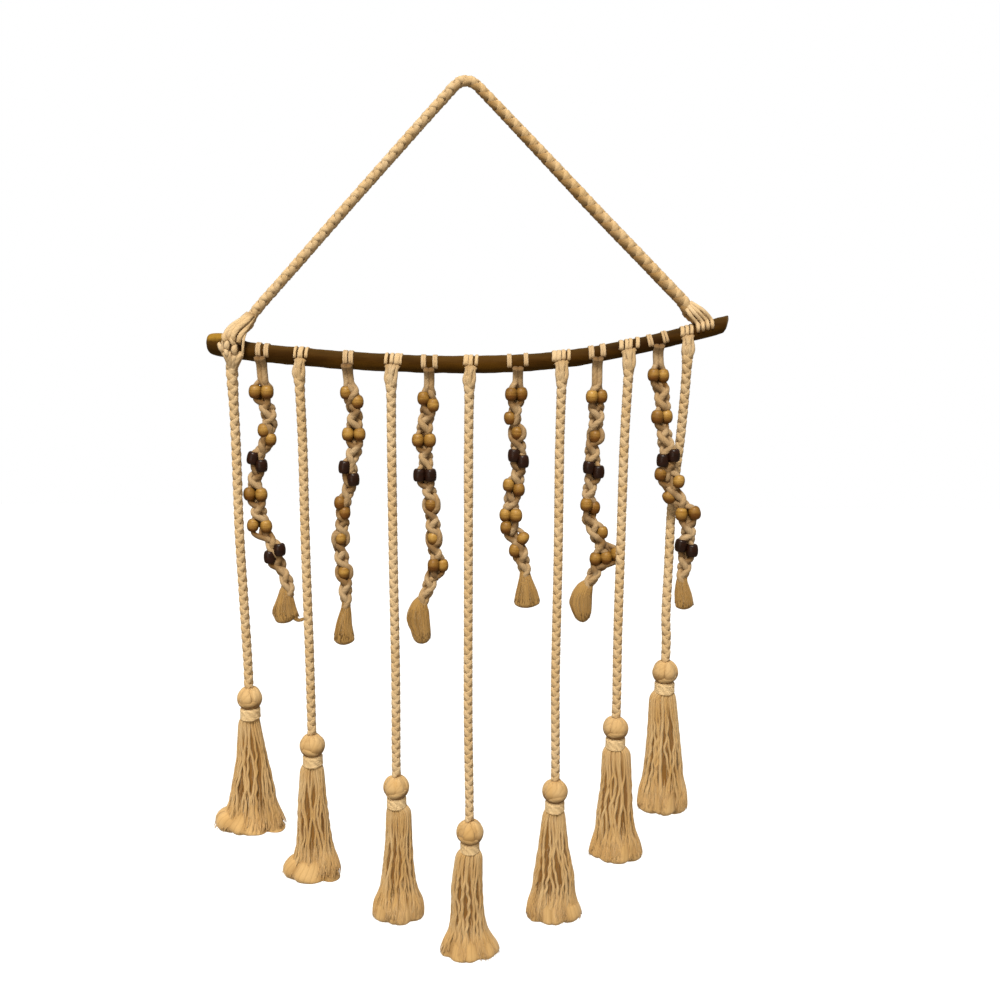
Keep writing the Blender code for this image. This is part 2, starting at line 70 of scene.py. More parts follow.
def pick(obj):
    """Make one object the only selected one, and the active one."""
    let_go()
    obj.select_set(True)
    bpy.context.view_layer.objects.active = obj


def edit(obj):
    """Enter edit mode on one object, with all of it selected."""
    pick(obj)
    bpy.ops.object.mode_set(mode="EDIT")
    bpy.ops.mesh.select_all(action="SELECT")


def new_object(name, data):
    """An object with this data, in the scene."""
    obj = bpy.data.objects.new(name, data)
    bpy.context.scene.collection.objects.link(obj)
    return obj


let_go()
print("plain solids:", len(nodes), "selected:", len(bpy.context.selected_objects))

# %% [markdown]
# ## The camera first
#
# The photograph looks down by about ten degrees from 1.13 m in front of the
# branch.  Plumb cords converge slightly downwards in it, which gives the tilt,
# and the whole picture leans by a third of a degree.

# %% Camera
CAMERA_PLACE = (0.0399, -1.131, -0.2571)
LOOK_DOWN = math.radians(10.2)
LEAN = math.atan2(31, 5400)

camera_data = bpy.data.cameras.new("camera")
camera_data.lens = 35
camera_data.sensor_width = 36
camera = new_object("camera", camera_data)
bpy.context.scene.camera = camera

right = Vector((math.cos(LEAN), math.sin(LEAN) * math.sin(LOOK_DOWN), math.sin(LEAN) * math.cos(LOOK_DOWN)))
up = Vector((-math.sin(LEAN), math.cos(LEAN) * math.sin(LOOK_DOWN), math.cos(LEAN) * math.cos(LOOK_DOWN)))
back = right.cross(up)
turn = Matrix((right, up, back)).transposed().to_4x4()
camera.matrix_world = Matrix.Translation(CAMERA_PLACE) @ turn
print("camera looks along", [round(v, 3) for v in -back])

# %% [markdown]
# ## Yarn as tubes with their own frames
#
# Cord, plies and fibres are all long and thin, so they share one way of being
# made: a centre line, an outward direction at each of its points, and a width and
# a depth there.  Curves with a bevel could do this too, but a strand in a braid
# is flattened where it lies on the others, and it has to know which side is the
# outside.  Each strand also carries a UV map, round it and along it in
# centimetres, so that the twist of its yarn can follow it, and two values for its
# colour: its own tint, and its depth, a painted shade for how deep it lies in the
# bundle and how little light reaches it.


# %% Strands and the piece that they make up
def held(values):
    """The values held between 0 and 1."""
    return np.clip(values, 0, 1)


def eased(values):
    """The values held between 0 and 1, with a soft start and end."""
    t = held(values)
    return t * t * (3 - 2 * t)


def xyz(x, y, z):
    """Points or directions from three coordinates, each an array or a number."""
    return np.stack(np.broadcast_arrays(x, y, z), axis=-1)


def in_mm(points):
    """Points that are written in millimetres."""
    return np.array(points) / 1000


def smooth_line(route, spacing):
    """Points about `spacing` apart on a smooth curve through the route."""
    points = [np.array(p, float) for p in route]
    ends = [2 * points[0] - points[1], *points, 2 * points[-1] - points[-2]]
    result = [points[0]]
    for i in range(1, len(ends) - 2):
        before, start, end, after = ends[i - 1:i + 3]
        steps = max(1, round(np.linalg.norm(end - start) / spacing))
        for k in range(1, steps + 1):
            t = k / steps
            result.append(0.5 * (2 * start + (end - before) * t
                                 + (2 * before - 5 * start + 4 * end - after) * t ** 2
                                 + (3 * start - before - 3 * end + after) * t ** 3))
    return np.array(result)


def unit(vectors):
    """The same directions, each of length one."""
    return vectors / np.maximum(np.linalg.norm(vectors, axis=-1, keepdims=True), 1e-12)


def lengths_along(points):
    """How far along the line each point is."""
    steps = np.linalg.norm(np.diff(points, axis=0), axis=1)
    return np.concatenate([[0.0], np.cumsum(steps)])


def soften(values, passes=1):
    """Values with each one drawn towards its neighbours, the ends kept."""
    values = np.array(values, float)
    for _ in range(passes):
        values[1:-1] = 0.25 * values[:-2] + 0.5 * values[1:-1] + 0.25 * values[2:]
    return values


def strand(points, outward, wide, deep, sides=8, tint=0.5, depth=0.0, side_shade=0.0):
    """One tube with its UVs and its two colour values; its last value is painted shade on its sides."""
    points = np.asarray(points, float)
    count = len(points)
    along = unit(np.gradient(points, axis=0))
    outward = np.broadcast_to(np.asarray(outward, float), points.shape)
    across = unit(np.cross(along, outward))
    outward = np.cross(across, along)
    wide, deep, tint, depth, side_shade = (np.broadcast_to(np.asarray(value, float), count)
                                      for value in (wide, deep, tint, depth, side_shade))
    angles = 2 * np.pi * np.arange(sides) / sides
    rings = (points[:, None]
             + across[:, None] * (wide[:, None] * np.cos(angles))[..., None]
             + outward[:, None] * (deep[:, None] * np.sin(angles))[..., None])

    i, k = np.meshgrid(np.arange(count - 1), np.arange(sides), indexing="ij")
    j = (k + 1) % sides
    walls = np.stack([i * sides + k, i * sides + j, (i + 1) * sides + j, (i + 1) * sides + k], axis=-1)
    reach = lengths_along(points) * 100
    u = np.stack([k, k + 1, k + 1, k], axis=-1) / sides
    v = np.stack([reach[i], reach[i], reach[i + 1], reach[i + 1]], axis=-1)

    # an even ring closes with a row of quads
    n = np.arange(sides // 2 - 1)
    start = np.stack([n, sides - 1 - n, sides - 2 - n, n + 1], axis=-1)
    finish = start[:, ::-1] + (count - 1) * sides
    quads = np.concatenate([walls.reshape(-1, 4), start, finish])
    flat_u = np.concatenate([u.reshape(-1, 4), np.full((2 * len(n), 4), 0.5)])
    flat_v = np.concatenate([v.reshape(-1, 4), np.full((len(n), 4), reach[0]),
                             np.full((len(n), 4), reach[-1])])
    # painted shade on the tube's sides, where it lies against its neighbours
    depth = depth[:, None] + side_shade[:, None] * held(0.6 - np.sin(angles))
    return {"verts": rings.reshape(-1, 3), "quads": quads[:, ::-1],
            "uv": np.stack([flat_u, flat_v], axis=-1)[:, ::-1],
            "tint": np.repeat(tint, sides), "depth": held(depth).ravel()}


def piece_of(name, strands, material, stands_for=()):
    """One object from many strands, riding on the part's body."""
    verts = np.concatenate([s["verts"] for s in strands])
    starts = np.cumsum([0] + [len(s["verts"]) for s in strands[:-1]])
    quads = np.concatenate([s["quads"] + start for s, start in zip(strands, starts)])
    uvs = np.concatenate([s["uv"] for s in strands])

    mesh = bpy.data.meshes.new(name)
    mesh.vertices.add(len(verts))
    mesh.vertices.foreach_set("co", verts.astype(np.float32).ravel())
    mesh.loops.add(quads.size)
    mesh.loops.foreach_set("vertex_index", quads.astype(np.int32).ravel())
    mesh.polygons.add(len(quads))
    mesh.polygons.foreach_set("loop_start", np.arange(0, quads.size, 4, dtype=np.int32))
    mesh.update(calc_edges=True)
    mesh.uv_layers.new(name="UVMap").data.foreach_set("uv", uvs.astype(np.float32).ravel())
    for key in ("tint", "depth"):
        layer = mesh.attributes.new(key, "FLOAT", "POINT")
        layer.data.foreach_set("value", np.concatenate([s[key] for s in strands]).astype(np.float32))
    mesh.shade_smooth()
    mesh.materials.append(material)

    return put_on(new_object(name, mesh), stands_for)


def put_on(obj, stands_for=()):
    """Let a finished piece ride on the part's body and stand for its plain solids."""
    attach(obj, "root")
    if stands_for:
        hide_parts(*stands_for)
    return obj


def triangles(*objs):
    """How many triangles these pieces have."""
    return sum(len(loop) - 2 for obj in objs for loop in (p.vertices for p in obj.data.polygons))


print("strand helpers ready")

# %% [markdown]
# ## Reading places from the plain solids
#
# The plain solids were lofted from level rings, so their own vertices say where
# each tassel, sinnet and bead is and how wide it is at every height.  Sorting the
# vertices along one axis and cutting where there is a gap gives the rings back.


# %% Rings of a plain solid
def rings_of(name, axis=2, gap=0.0003, corners=(1.0, 1.0)):
    """Middle and half sizes of each ring along an axis, from the top or from the left."""
    node = nodes[name]
    places = np.array([v.co for v in node.data.vertices])
    places = places[np.argsort(places[:, axis])]
    cuts = np.where(np.diff(places[:, axis]) > gap)[0] + 1
    rings = []
    for group in np.split(places, cuts):
        low, high = group.min(axis=0), group.max(axis=0)
        rings.append(((low + high) / 2, (high - low) / 2 / np.array([*corners, 1.0])))
    return rings if axis == 0 else rings[::-1]


# how much of its full width and depth a ring with ten or eight flat sides reaches
TEN_SIDES = (math.cos(math.radians(18)), 1.0)
EIGHT_SIDES = (math.cos(math.radians(22.5)), math.cos(math.radians(22.5)))
head = rings_of("tassel_4", corners=TEN_SIDES)[2]
print("head of tassel 4, mm: middle", np.round(head[0] * 1000, 1), "half sizes", np.round(head[1] * 1000, 1))

# %% [markdown]
# ## Effects that several finishes share
#
# Spun yarn shows the twist of its plies as slanting grooves, so one node group
# makes those from the strand's own UVs.  A second one gives the slow, uneven
# colour of undyed cotton, and a third the long figure of wood.  Each is built
# once and placed in every material that shows it, with that material's values.


# %% Node helpers
def feed(node, inputs):
    """Feed a node's inputs, by label or number, with sockets or values."""
    for label, value in inputs.items():
        if isinstance(value, bpy.types.NodeSocket):
            node.id_data.links.new(value, node.inputs[label])
        elif value is not None:
            node.inputs[label].default_value = value


def add(tree, kind, inputs=None, **settings):
    """A new shader node with these settings and inputs."""
    node = tree.nodes.new("ShaderNode" + kind)
    for setting, value in settings.items():
        setattr(node, setting, value)
    feed(node, inputs or {})
    return node


def math_node(operation, first, second=None, clamp=False):
    """The output of a Math node on a socket, and a socket or a number."""
    inputs = {0: first, 1: second}
    return add(first.id_data, "Math", inputs, operation=operation, use_clamp=clamp).outputs[0]


def times(first, second):
    """The output of a Math node that multiplies."""
    return math_node("MULTIPLY", first, second)


def colour_mix(factor, first, second, blend="MIX"):
    """The output of a colour Mix node on sockets or colours, at least one a socket."""
    inputs = {0: factor, 6: first, 7: second}
    tree = next(v.id_data for v in inputs.values() if isinstance(v, bpy.types.NodeSocket))
    inputs = {key: (*v, 1.0) if isinstance(v, tuple) else v for key, v in inputs.items()}
    return add(tree, "Mix", inputs, data_type="RGBA", blend_type=blend).outputs[2]


def stretch(value, low, high, to_low=0.0, to_high=1.0):
    """The output of a clamped Map Range node."""
    inputs = {"Value": value, "From Min": low, "From Max": high, "To Min": to_low, "To Max": to_high}
    return add(value.id_data, "MapRange", inputs).outputs["Result"]


def noise(vector, scale, detail=2.0, roughness=0.5):
    """The value of a Noise Texture node."""
    inputs = {"Vector": vector, "Scale": scale, "Detail": detail, "Roughness": roughness}
    return add(vector.id_data, "TexNoise", inputs).outputs["Fac"]


def mostly(first, second):
    """Six tenths of one value and four tenths of another."""
    return math_node("ADD", times(first, 0.6), times(second, 0.4))


def new_group(name, inputs, outputs):
    """An empty shader group; an input without a value is a vector, all else are values."""
    group = bpy.data.node_groups.new(name, "ShaderNodeTree")
    for label, value in inputs.items():
        kind = "NodeSocketVector" if value is None else "NodeSocketFloat"
        socket = group.interface.new_socket(name=label, in_out="INPUT", socket_type=kind)
        if value is not None:
            socket.default_value = value
    for label in outputs:
        group.interface.new_socket(name=label, in_out="OUTPUT", socket_type="NodeSocketFloat")
    return group, group.nodes.new("NodeGroupInput").outputs, group.nodes.new("NodeGroupOutput")


def new_material(name):
    """A material, its node tree and its shader."""
    material = bpy.data.materials.new(name)
    material.use_nodes = True
    return material, material.node_tree, material.node_tree.nodes["Principled BSDF"]


def object_place(tree):
    """Places in the piece's own space."""
    return add(tree, "TexCoord").outputs["Object"]


def attribute(tree, name):
    """One of the two colour values of a strand or bead."""
    return add(tree, "Attribute", attribute_name=name).outputs["Fac"]


def facing(tree, blend):
    """How far a surface turns away from the eye."""
    return add(tree, "LayerWeight", {"Blend": blend}).outputs["Facing"]


def relief(tree, shader, height, strength, distance):
    """Raise a surface by a height."""
    bump = add(tree, "Bump", {"Strength": strength, "Distance": distance, "Height": height})
    feed(shader, {"Normal": bump.outputs["Normal"]})


print("node helpers ready")

# %% Group: the twist of spun yarn
spun_yarn, taken, given = new_group(
    "spun yarn", {"Strand UV": None, "Plies": 3.0, "Turns per cm": 1.2, "Fibre scale": 6.0},
    ("Height", "Groove", "Fibre"))
split = add(spun_yarn, "SeparateXYZ", {0: taken["Strand UV"]}).outputs
slant = math_node("ADD", times(split["X"], taken["Plies"]), times(split["Y"], taken["Turns per cm"]))
wave = math_node("ABSOLUTE", math_node("SINE", times(slant, math.pi)))
# fibres run along the plies: fine across the slant, long along the strand
fibre_place = add(spun_yarn, "CombineXYZ",
                  {"X": times(slant, taken["Fibre scale"]), "Y": times(split["Y"], 1.6)})
fibre = noise(fibre_place.outputs[0], 1.0, 3.0, 0.6)
feed(given, {"Height": math_node("ADD", wave, times(fibre, 0.8)), "Groove": stretch(wave, 0.45, 0.0),
             "Fibre": fibre})
print("group:", spun_yarn.name)

# %% Group: the uneven colour of undyed cotton
cotton_unevenness, taken, given = new_group(
    "cotton unevenness", {"Place": None, "Patch size": 28.0}, ("Patch", "Speck"))
patch = noise(taken["Place"], taken["Patch size"], 2.0, 0.55)
speck = noise(taken["Place"], 700.0, 2.0, 0.6)
feed(given, {"Patch": stretch(patch, 0.35, 0.65), "Speck": stretch(speck, 0.4, 0.7)})
print("group:", cotton_unevenness.name)

# %% Group: the figure of wood
wood_figure, taken, given = new_group(
    "wood figure", {"Place": None, "Line scale": 1.0}, ("Lines", "Cloud", "Height"))
lines = noise(taken["Place"], taken["Line scale"], 4.0, 0.62)
cloud = noise(taken["Place"], times(taken["Line scale"], 0.18), 2.0, 0.5)
feed(given, {"Lines": stretch(lines, 0.38, 0.62), "Cloud": stretch(cloud, 0.35, 0.65), "Height": lines})
print("group:", wood_figure.name)

# %% [markdown]
# ## Cotton finishes
#
# All the cotton is one undyed, slightly golden yarn: pinkish tan where the braid
# is tight, more golden where the tassels are combed out, and painted brown with
# shade down between the plies.  Roughness is high, and a little sheen stands for
# the fuzz that catches light at the edges.  The same recipe is used six times with
# different colours and twists, so it is one function; the neck thread's copy is
# painted lighter, against the shade under the heads.


# %% Material: cotton yarn
def cotton(name, light, middle, shade, plies, turns, fibre_scale=6.0, sheen=0.3, marks=1.0):
    """A yarn that reads a strand's UVs, its tint and its depth of painted shade; marks are how plain its
    fibres show.
    """
    material, tree, shader = new_material(name)
    strand_uv = add(tree, "UVMap", uv_map="UVMap").outputs["UV"]
    twist = {"Strand UV": strand_uv, "Plies": plies, "Turns per cm": turns, "Fibre scale": fibre_scale}
    yarn = add(tree, "Group", twist, node_tree=spun_yarn).outputs
    uneven = add(tree, "Group", {"Place": object_place(tree)}, node_tree=cotton_unevenness).outputs
    # tint and slow patches choose between the light and the middle colour
    colour = colour_mix(mostly(attribute(tree, "tint"), uneven["Patch"]), light, middle)
    colour = colour_mix(times(stretch(yarn["Fibre"], 0.35, 0.7), 0.35 * marks), colour, middle)
    # specks of the cotton, and painted shade down in the grooves of the twist
    for mark, strength in ((uneven["Speck"], 0.14), (yarn["Groove"], 0.42)):
        colour = colour_mix(times(mark, strength * marks), colour, shade)
    # painted shade: the strand's depth darkens it towards the shade colour
    colour = colour_mix(attribute(tree, "depth"), colour, shade)
    feed(shader, {"Base Color": colour, "Roughness": 0.92, "Specular IOR Level": 0.2, "Sheen Weight": sheen,
                  "Sheen Roughness": 0.45, "Sheen Tint": (1.0, 0.9, 0.72, 1.0)})
    relief(tree, shader, yarn["Height"], 0.75, 0.0003)
    return material


braid_cotton = cotton("braided cotton", (0.686, 0.520, 0.322), (0.556, 0.364, 0.158), (0.18, 0.082, 0.010),
                      plies=3, turns=1.1, marks=0.4)
sinnet_cotton = cotton("sinnet cotton", (0.610, 0.450, 0.270), (0.460, 0.295, 0.135), (0.13, 0.055, 0.007),
                       plies=3, turns=1.4, marks=0.4)
tassel_cotton = cotton("tassel yarn", (0.690, 0.495, 0.262), (0.540, 0.318, 0.108), (0.19, 0.078, 0.008),
                       plies=3, turns=0.9, marks=0.45)
combed_cotton = cotton("combed-out cotton", (0.750, 0.505, 0.238), (0.590, 0.352, 0.122),
                       (0.22, 0.095, 0.012), plies=1, turns=0.15, fibre_scale=14.0, sheen=0.4, marks=0.6)
brush_cotton = cotton("combed-out ends", (0.500, 0.310, 0.115), (0.370, 0.205, 0.052), (0.15, 0.065, 0.010),
                      plies=1, turns=0.15, fibre_scale=12.0, marks=0.7)
# the neck thread: the same cotton painted lighter, against the shade under the head
painted_light_neck_cotton = cotton("neck thread", (0.850, 0.640, 0.370), (0.700, 0.480, 0.230), (0.30, 0.150, 0.030),
                     plies=3, turns=1.1, marks=0.3)
print("cotton finishes:", braid_cotton.name, "to", painted_light_neck_cotton.name)

# %% [markdown]
# ## The round braid
#
# The long cords and the hanging rope are four-strand round braids.  Two strands
# wind one way round the core and two the other way, and at every crossing the
# one on top changes.  In the photograph this shows as fat lobes that alternate
# left and right with a small dark notch between them, 12 mm apart on each side.
# Making the strands' true paths gives those lobes and notches by themselves,
# where a bump map on a plain tube would leave its outline smooth.

# %% A four-strand braid along a line
BRAID_PITCH = 0.0234          # one full turn of a strand
BRAID_MIDDLE = 0.00295        # how far a strand's middle is from the core
BRAID_LIFT = 0.00055          # how far it rises and dips at the crossings
STRAND_WIDE = 0.0034          # half its width and half its thickness
STRAND_DEEP = 0.0021
CROSSINGS_AT = math.radians(45)    # they lie left and right of the front, and of the back


def braid(line, scales, seed, pitch=BRAID_PITCH, gold=0.0, under=0.0):
    """Four crossing strands round a line; gold makes it more golden, and under is painted shade on its lower
    side.
    """
    rng = np.random.default_rng(seed)
    along = unit(np.gradient(line, axis=0))
    front = np.broadcast_to((0.0, -1.0, 0.0), line.shape)
    side = unit(np.cross(along, front))
    front = np.cross(side, along)
    phase = 2 * np.pi * lengths_along(line) / pitch
    scales = np.asarray(scales, float)
    strands = []
    for number in range(4):
        sense = 1 if number < 2 else -1
        theta = sense * phase + math.pi * (number % 2) + CROSSINGS_AT
        reach = (BRAID_MIDDLE + sense * BRAID_LIFT * np.cos(2 * phase)) * scales
        outward = np.cos(theta)[:, None] * side + np.sin(theta)[:, None] * front
        wobble = soften(rng.normal(0, 0.00012, len(line)), 6)
        centre = line + outward * (reach + wobble)[:, None]
        strands.append(strand(centre, outward, STRAND_WIDE * scales, STRAND_DEEP * scales,
                              tint=rng.uniform(0.1, 0.8) + gold,
                              depth=under * held(np.cos(theta) + 0.3)))
    return strands


print("braid outer diameter, mm:", round(2000 * (BRAID_MIDDLE + BRAID_LIFT + STRAND_DEEP), 1))

# %% [markdown]
# ## The seven long cords
#
# Each cord leaves its knot in front of the branch, a little wider than lower
# down, and hangs plumb to its tassel's head.  The seventh passes behind the last
# sinnet.  The routes were read off the photograph once more, so a braid can lie a
# few millimetres beside its plain solid.  Each cord shows there but for short
# stretches behind a sinnet, so its real length is the length of its route.

# %% Routes of the long cords
CORD_TOP_Y = -0.0060
CORD_Y = -0.0030
CORD_DIAMETER = 0.0115
CORD_SCALE = 1.08             # how much fatter than the braid's own size it is drawn
CORD_SWELL = 0.33             # how much fatter again where it comes out of its knot
LONG_CORDS = [
    # number, x at top, the middle of its route, the head's x, its length
    (1, -0.2687,
     [(-0.2686, CORD_Y, -0.400), (-0.2690, CORD_Y, -0.500), (-0.2668, CORD_Y, -0.600)], -0.2655, 0.390),
    (2, -0.1915,
     [(-0.1908, CORD_Y, -0.400), (-0.1911, CORD_Y, -0.520), (-0.1902, CORD_Y, -0.650)], -0.1902, 0.444),
    (3, -0.0862,
     [(-0.0870, CORD_Y, -0.400), (-0.0869, CORD_Y, -0.530), (-0.0860, CORD_Y, -0.680)], -0.0868, 0.493),
    (4, 0.0038,
     [(0.0029, CORD_Y, -0.400), (0.0026, CORD_Y, -0.560), (0.0023, CORD_Y, -0.720)], 0.0038, 0.551),
    (5, 0.1100,
     [(0.1092, CORD_Y, -0.400), (0.1095, CORD_Y, -0.530), (0.1087, CORD_Y, -0.680)], 0.1105, 0.501),
    (6, 0.1865,
     [(0.1845, CORD_Y, -0.390), (0.1838, CORD_Y, -0.500), (0.1832, CORD_Y, -0.620)], 0.1840, 0.431),
    (7, 0.2535,
     [(0.2532, 0.0010, -0.340), (0.2515, 0.0085, -0.390), (0.2480, 0.0105, -0.430),
      (0.2445, 0.0095, -0.475), (0.2428, 0.0040, -0.530), (0.2405, CORD_Y, -0.600)], 0.2420, 0.375),
]

cord_tops = {}
for number, x_top, middle, head_x, real_length in LONG_CORDS:
    low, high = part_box(f"cord_{number}")
    route = [(x_top, CORD_TOP_Y, high.z), (x_top, CORD_TOP_Y, high.z - 0.018), *middle,
             (head_x, CORD_Y, low.z + 0.030), (head_x, CORD_Y, low.z)]
    line = smooth_line(route, 0.0016)
    reach = lengths_along(line)
    scales = CORD_SCALE * (1 + CORD_SWELL * held(1 - reach / (0.045 if number == 1 else 0.026)))
    cord = piece_of(f"braided_cord_{number}", braid(line, scales, seed=number), braid_cotton,
                    [f"cord_{number}"])
    cord_tops[number] = line[0]
    print(f"cord {number}: {reach[-1] * 1000:.0f} mm long, {triangles(cord)} triangles")

# %% [markdown]
# ## The hanging rope
#
# The same braid in a thicker cord, pulled straight by the weight on both sides of
# the nail and bent over it in a flat-bottomed turn.  Its right leg looks thicker
# than its left in the photograph, and is drawn so.

# %% Hanging rope
ROPE_DIAMETER = 0.0125
ROPE_PITCH = 0.026            # one full turn of a strand
RIGHT_LEG_MORE = 0.24         # what the right leg adds to CORD_SCALE
ROPE_ROUTE = [
    (-0.2405, 0.0, -0.2430), (-0.1985, 0.0, -0.1975), (-0.1369, 0.0, -0.1310), (-0.0965, 0.0, -0.0880),
    (-0.0565, 0.0, -0.0453), (-0.0240, 0.0, -0.0110), (-0.0100, 0.0, 0.0030),
    (0.0, 0.0, ROPE_DIAMETER / 2),
    (0.0100, 0.0, 0.0030), (0.0240, 0.0, -0.0100), (0.0592, 0.0, -0.0446), (0.1018, 0.0, -0.0868),
    (0.1446, 0.0, -0.1295), (0.1891, 0.0, -0.1728), (0.2342, 0.0, -0.2168), (0.2470, 0.0, -0.2295),
]
rope_ends = []
for name, x, inwards in (("lashing_left", -0.2495, -0.0065), ("lashing_right", 0.2560, 0.0060)):
    # from the lashing's highest point it goes on between the lashing's strands
    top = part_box(name)[1].z
    rope_ends.append([(x + inwards, -0.0015, top - 0.0075), (x, 0.0, top)])
rope_line = smooth_line([*rope_ends[0], *ROPE_ROUTE, *reversed(rope_ends[1])], 0.0018)
# its right leg is drawn thicker than its left
reach = lengths_along(rope_line)
from_end = np.minimum(reach, reach[-1] - reach)
fatter = CORD_SCALE + RIGHT_LEG_MORE * held((rope_line[:, 0] - 0.02) / 0.11)
rope_scales = ROPE_DIAMETER / CORD_DIAMETER * fatter
rope_scales = rope_scales * (1 - 0.40 * held(1 - (from_end - 0.002) / 0.012))
# painted shade on the lower side of both legs, the right one more; the right leg is also more golden all
# round
right_leg = held((rope_line[:, 0] + 0.01) / 0.03)
hanging_rope = piece_of("braided_hanging_rope",
                        braid(rope_line, rope_scales, pitch=ROPE_PITCH, seed=20, gold=0.55 * right_leg,
                              under=0.16 + 0.58 * right_leg),
                        braid_cotton, ["hanging_rope"])
print("rope:", round(reach[-1] * 1000), "mm,", triangles(hanging_rope), "triangles")

# %% [markdown]
# ## The branch
#
# A real branch is never a clean cylinder: it swells at old buds and its bark is
# faintly lumpy.  It is grown here ring by ring from its left tip, as a circle that
# is extruded and resized at each step, then smoothed and given shallow lumps.
# The left end is golden on top, and the right tip is sawn at a slant.

# %% Bark and sawn wood
def wood(name, light, dark, line_scale, squeeze, roughness, bump, coat=0.0, specular=0.3):
    """A wood whose figure is squeezed along each axis of the piece."""
    material, tree, shader = new_material(name)
    mapping = add(tree, "Mapping", {"Vector": object_place(tree), "Scale": squeeze})
    figure = add(tree, "Group", {"Line scale": line_scale, "Place": mapping.outputs[0]},
                 node_tree=wood_figure).outputs
    colour = colour_mix(mostly(figure["Lines"], figure["Cloud"]), dark, light)
    uneven = stretch(figure["Lines"], 0, 1, roughness + 0.08, roughness - 0.06)
    feed(shader, {"Base Color": colour, "Roughness": uneven, "Specular IOR Level": specular,
                  "Coat Weight": coat, "Coat Roughness": 0.25})
    relief(tree, shader, figure["Height"], 0.6, bump)
    return material, colour


bark, bark_colour = wood("dark bark", (0.082, 0.034, 0.0020), (0.020, 0.0065, 0.0004), 60.0, (0.16, 1.0, 1.0),
                         0.70, 0.0008, specular=0.05)
sawn_wood, _ = wood("sawn wood", (0.10, 0.060, 0.020), (0.05, 0.026, 0.008), 160.0, (1.0, 1.0, 0.5),
                    0.8, 0.0003)

# a golden patch: on the left end, on its top side, and off its very tip
tree = bark.node_tree
place = object_place(tree)
split = add(tree, "SeparateXYZ", {0: place}).outputs
edge = times(noise(place, 180.0), 0.006)
left_end, top_side, tip_off = (
    stretch(math_node("ADD", split[axis], edge), start, full)
    for axis, start, full in (("X", -0.2640, -0.2700), ("Z", -0.2745, -0.2695), ("X", -0.2960, -0.2900)))
golden_top_patch = math_node("MULTIPLY", times(left_end, top_side), tip_off, clamp=True)
# painted reflection: the bark is lighter where it turns away from the eye
painted_edge_reflection = math_node("MULTIPLY", facing(tree, 0.35), 0.7, clamp=True)
bark_with_painted_reflection = colour_mix(painted_edge_reflection, bark_colour, (0.120, 0.076, 0.022))
feed(tree.nodes["Principled BSDF"], {"Base Color": colour_mix(golden_top_patch, bark_with_painted_reflection, (0.30, 0.165, 0.022))})
print("wood finishes:", bark.name, sawn_wood.name)

# %% The branch, grown ring by ring
stations = [(ring[0][0], ring[0][2], ring[1][1]) for ring in rings_of("branch", axis=0, gap=0.0035)]
station_x, station_z, station_radius = np.array(stations).T
grown_x = np.linspace(station_x[0], station_x[-1], 64)
grown_z = soften(np.interp(grown_x, station_x, station_z), 2)
grown_radius = soften(np.interp(grown_x, station_x, station_radius), 1)
# the left end is a little thicker, all of it on top
LEFT_END_MORE = 0.0014
thicker = held((-0.262 - grown_x) / 0.014)
grown_radius = grown_radius + LEFT_END_MORE * thicker
grown_z = grown_z + LEFT_END_MORE * thicker


def branch_at(x):
    """The branch's middle height and its radius at x."""
    return float(np.interp(x, grown_x, grown_z)), float(np.interp(x, grown_x, grown_radius))


let_go()
bpy.ops.mesh.primitive_circle_add(vertices=18, radius=grown_radius[0], fill_type="NGON",
                                  location=(grown_x[0], 0, grown_z[0]), rotation=(0, math.pi / 2, 0))
branch = bpy.context.object
branch.name = "branch_with_bark"
bpy.ops.object.transform_apply(location=True, rotation=True, scale=True)
edit(branch)
for i in range(1, len(grown_x)):
    step = (grown_x[i] - grown_x[i - 1], 0, grown_z[i] - grown_z[i - 1])
    bpy.ops.mesh.extrude_region_move(TRANSFORM_OT_translate={"value": step})
    grow = grown_radius[i] / grown_radius[i - 1]
    bpy.ops.transform.resize(value=(1, grow, grow), center_override=(grown_x[i], 0, grown_z[i]))
bpy.ops.mesh.inset(thickness=0.0007, depth=0)
bpy.ops.object.mode_set(mode="OBJECT")

# the sawn tip leans, and its end face is bare wood
for vertex in branch.data.vertices:
    nearness = held((vertex.co.x - 0.285) / 0.012)
    vertex.co.x += 0.22 * nearness * (vertex.co.z - grown_z[-1])
branch.data.materials.append(bark)
branch.data.materials.append(sawn_wood)
for face in branch.data.polygons:
    if face.center.x > 0.294 and face.normal.x > 0.8:
        face.material_index = 1
edit(branch)
bpy.ops.mesh.normals_make_consistent(inside=False)
bpy.ops.object.mode_set(mode="OBJECT")

lumps = bpy.data.textures.new("bark lumps", "CLOUDS")
lumps.noise_scale = 0.017
smooth = branch.modifiers.new("smooth", "SUBSURF")
smooth.levels = smooth.render_levels = 2
lumpy = branch.modifiers.new("lumpy", "DISPLACE")
lumpy.texture = lumps
lumpy.texture_coords = "LOCAL"
lumpy.strength = 0.0016
lumpy.mid_level = 0.45
for name in ("smooth", "lumpy"):
    bpy.ops.object.modifier_apply(modifier=name)
bpy.ops.object.shade_smooth_by_angle(angle=math.radians(50))
put_on(branch, ["branch"])
print("branch:", triangles(branch), "triangles")

# %% [markdown]
# ## Mounting knots
#
# Each long cord's strands go up the front of the branch, over it and down the
# back, and a loop of the same strands is drawn across them low on the front, where
# no light reaches it, so it isn't made.  The cord comes out below it, in two arms
# that close to a V.  The places of the turns are read off the photograph one by
# one, because no two knots have the same gaps.  A turn is a flattened strand on
# the bark.


# %% Turns round the branch
TURN_STEPS = 34               # points along one turn
TURN_SINK = 0.0024            # how far its ends dive
TURN_DEEP = 0.0010            # half the thickness of a turn in a knot
KNOT_LEAN = 0.0006            # how far a cord's turns slant along the branch
ARM_HALF = 0.0027             # half the width of an arm of the V


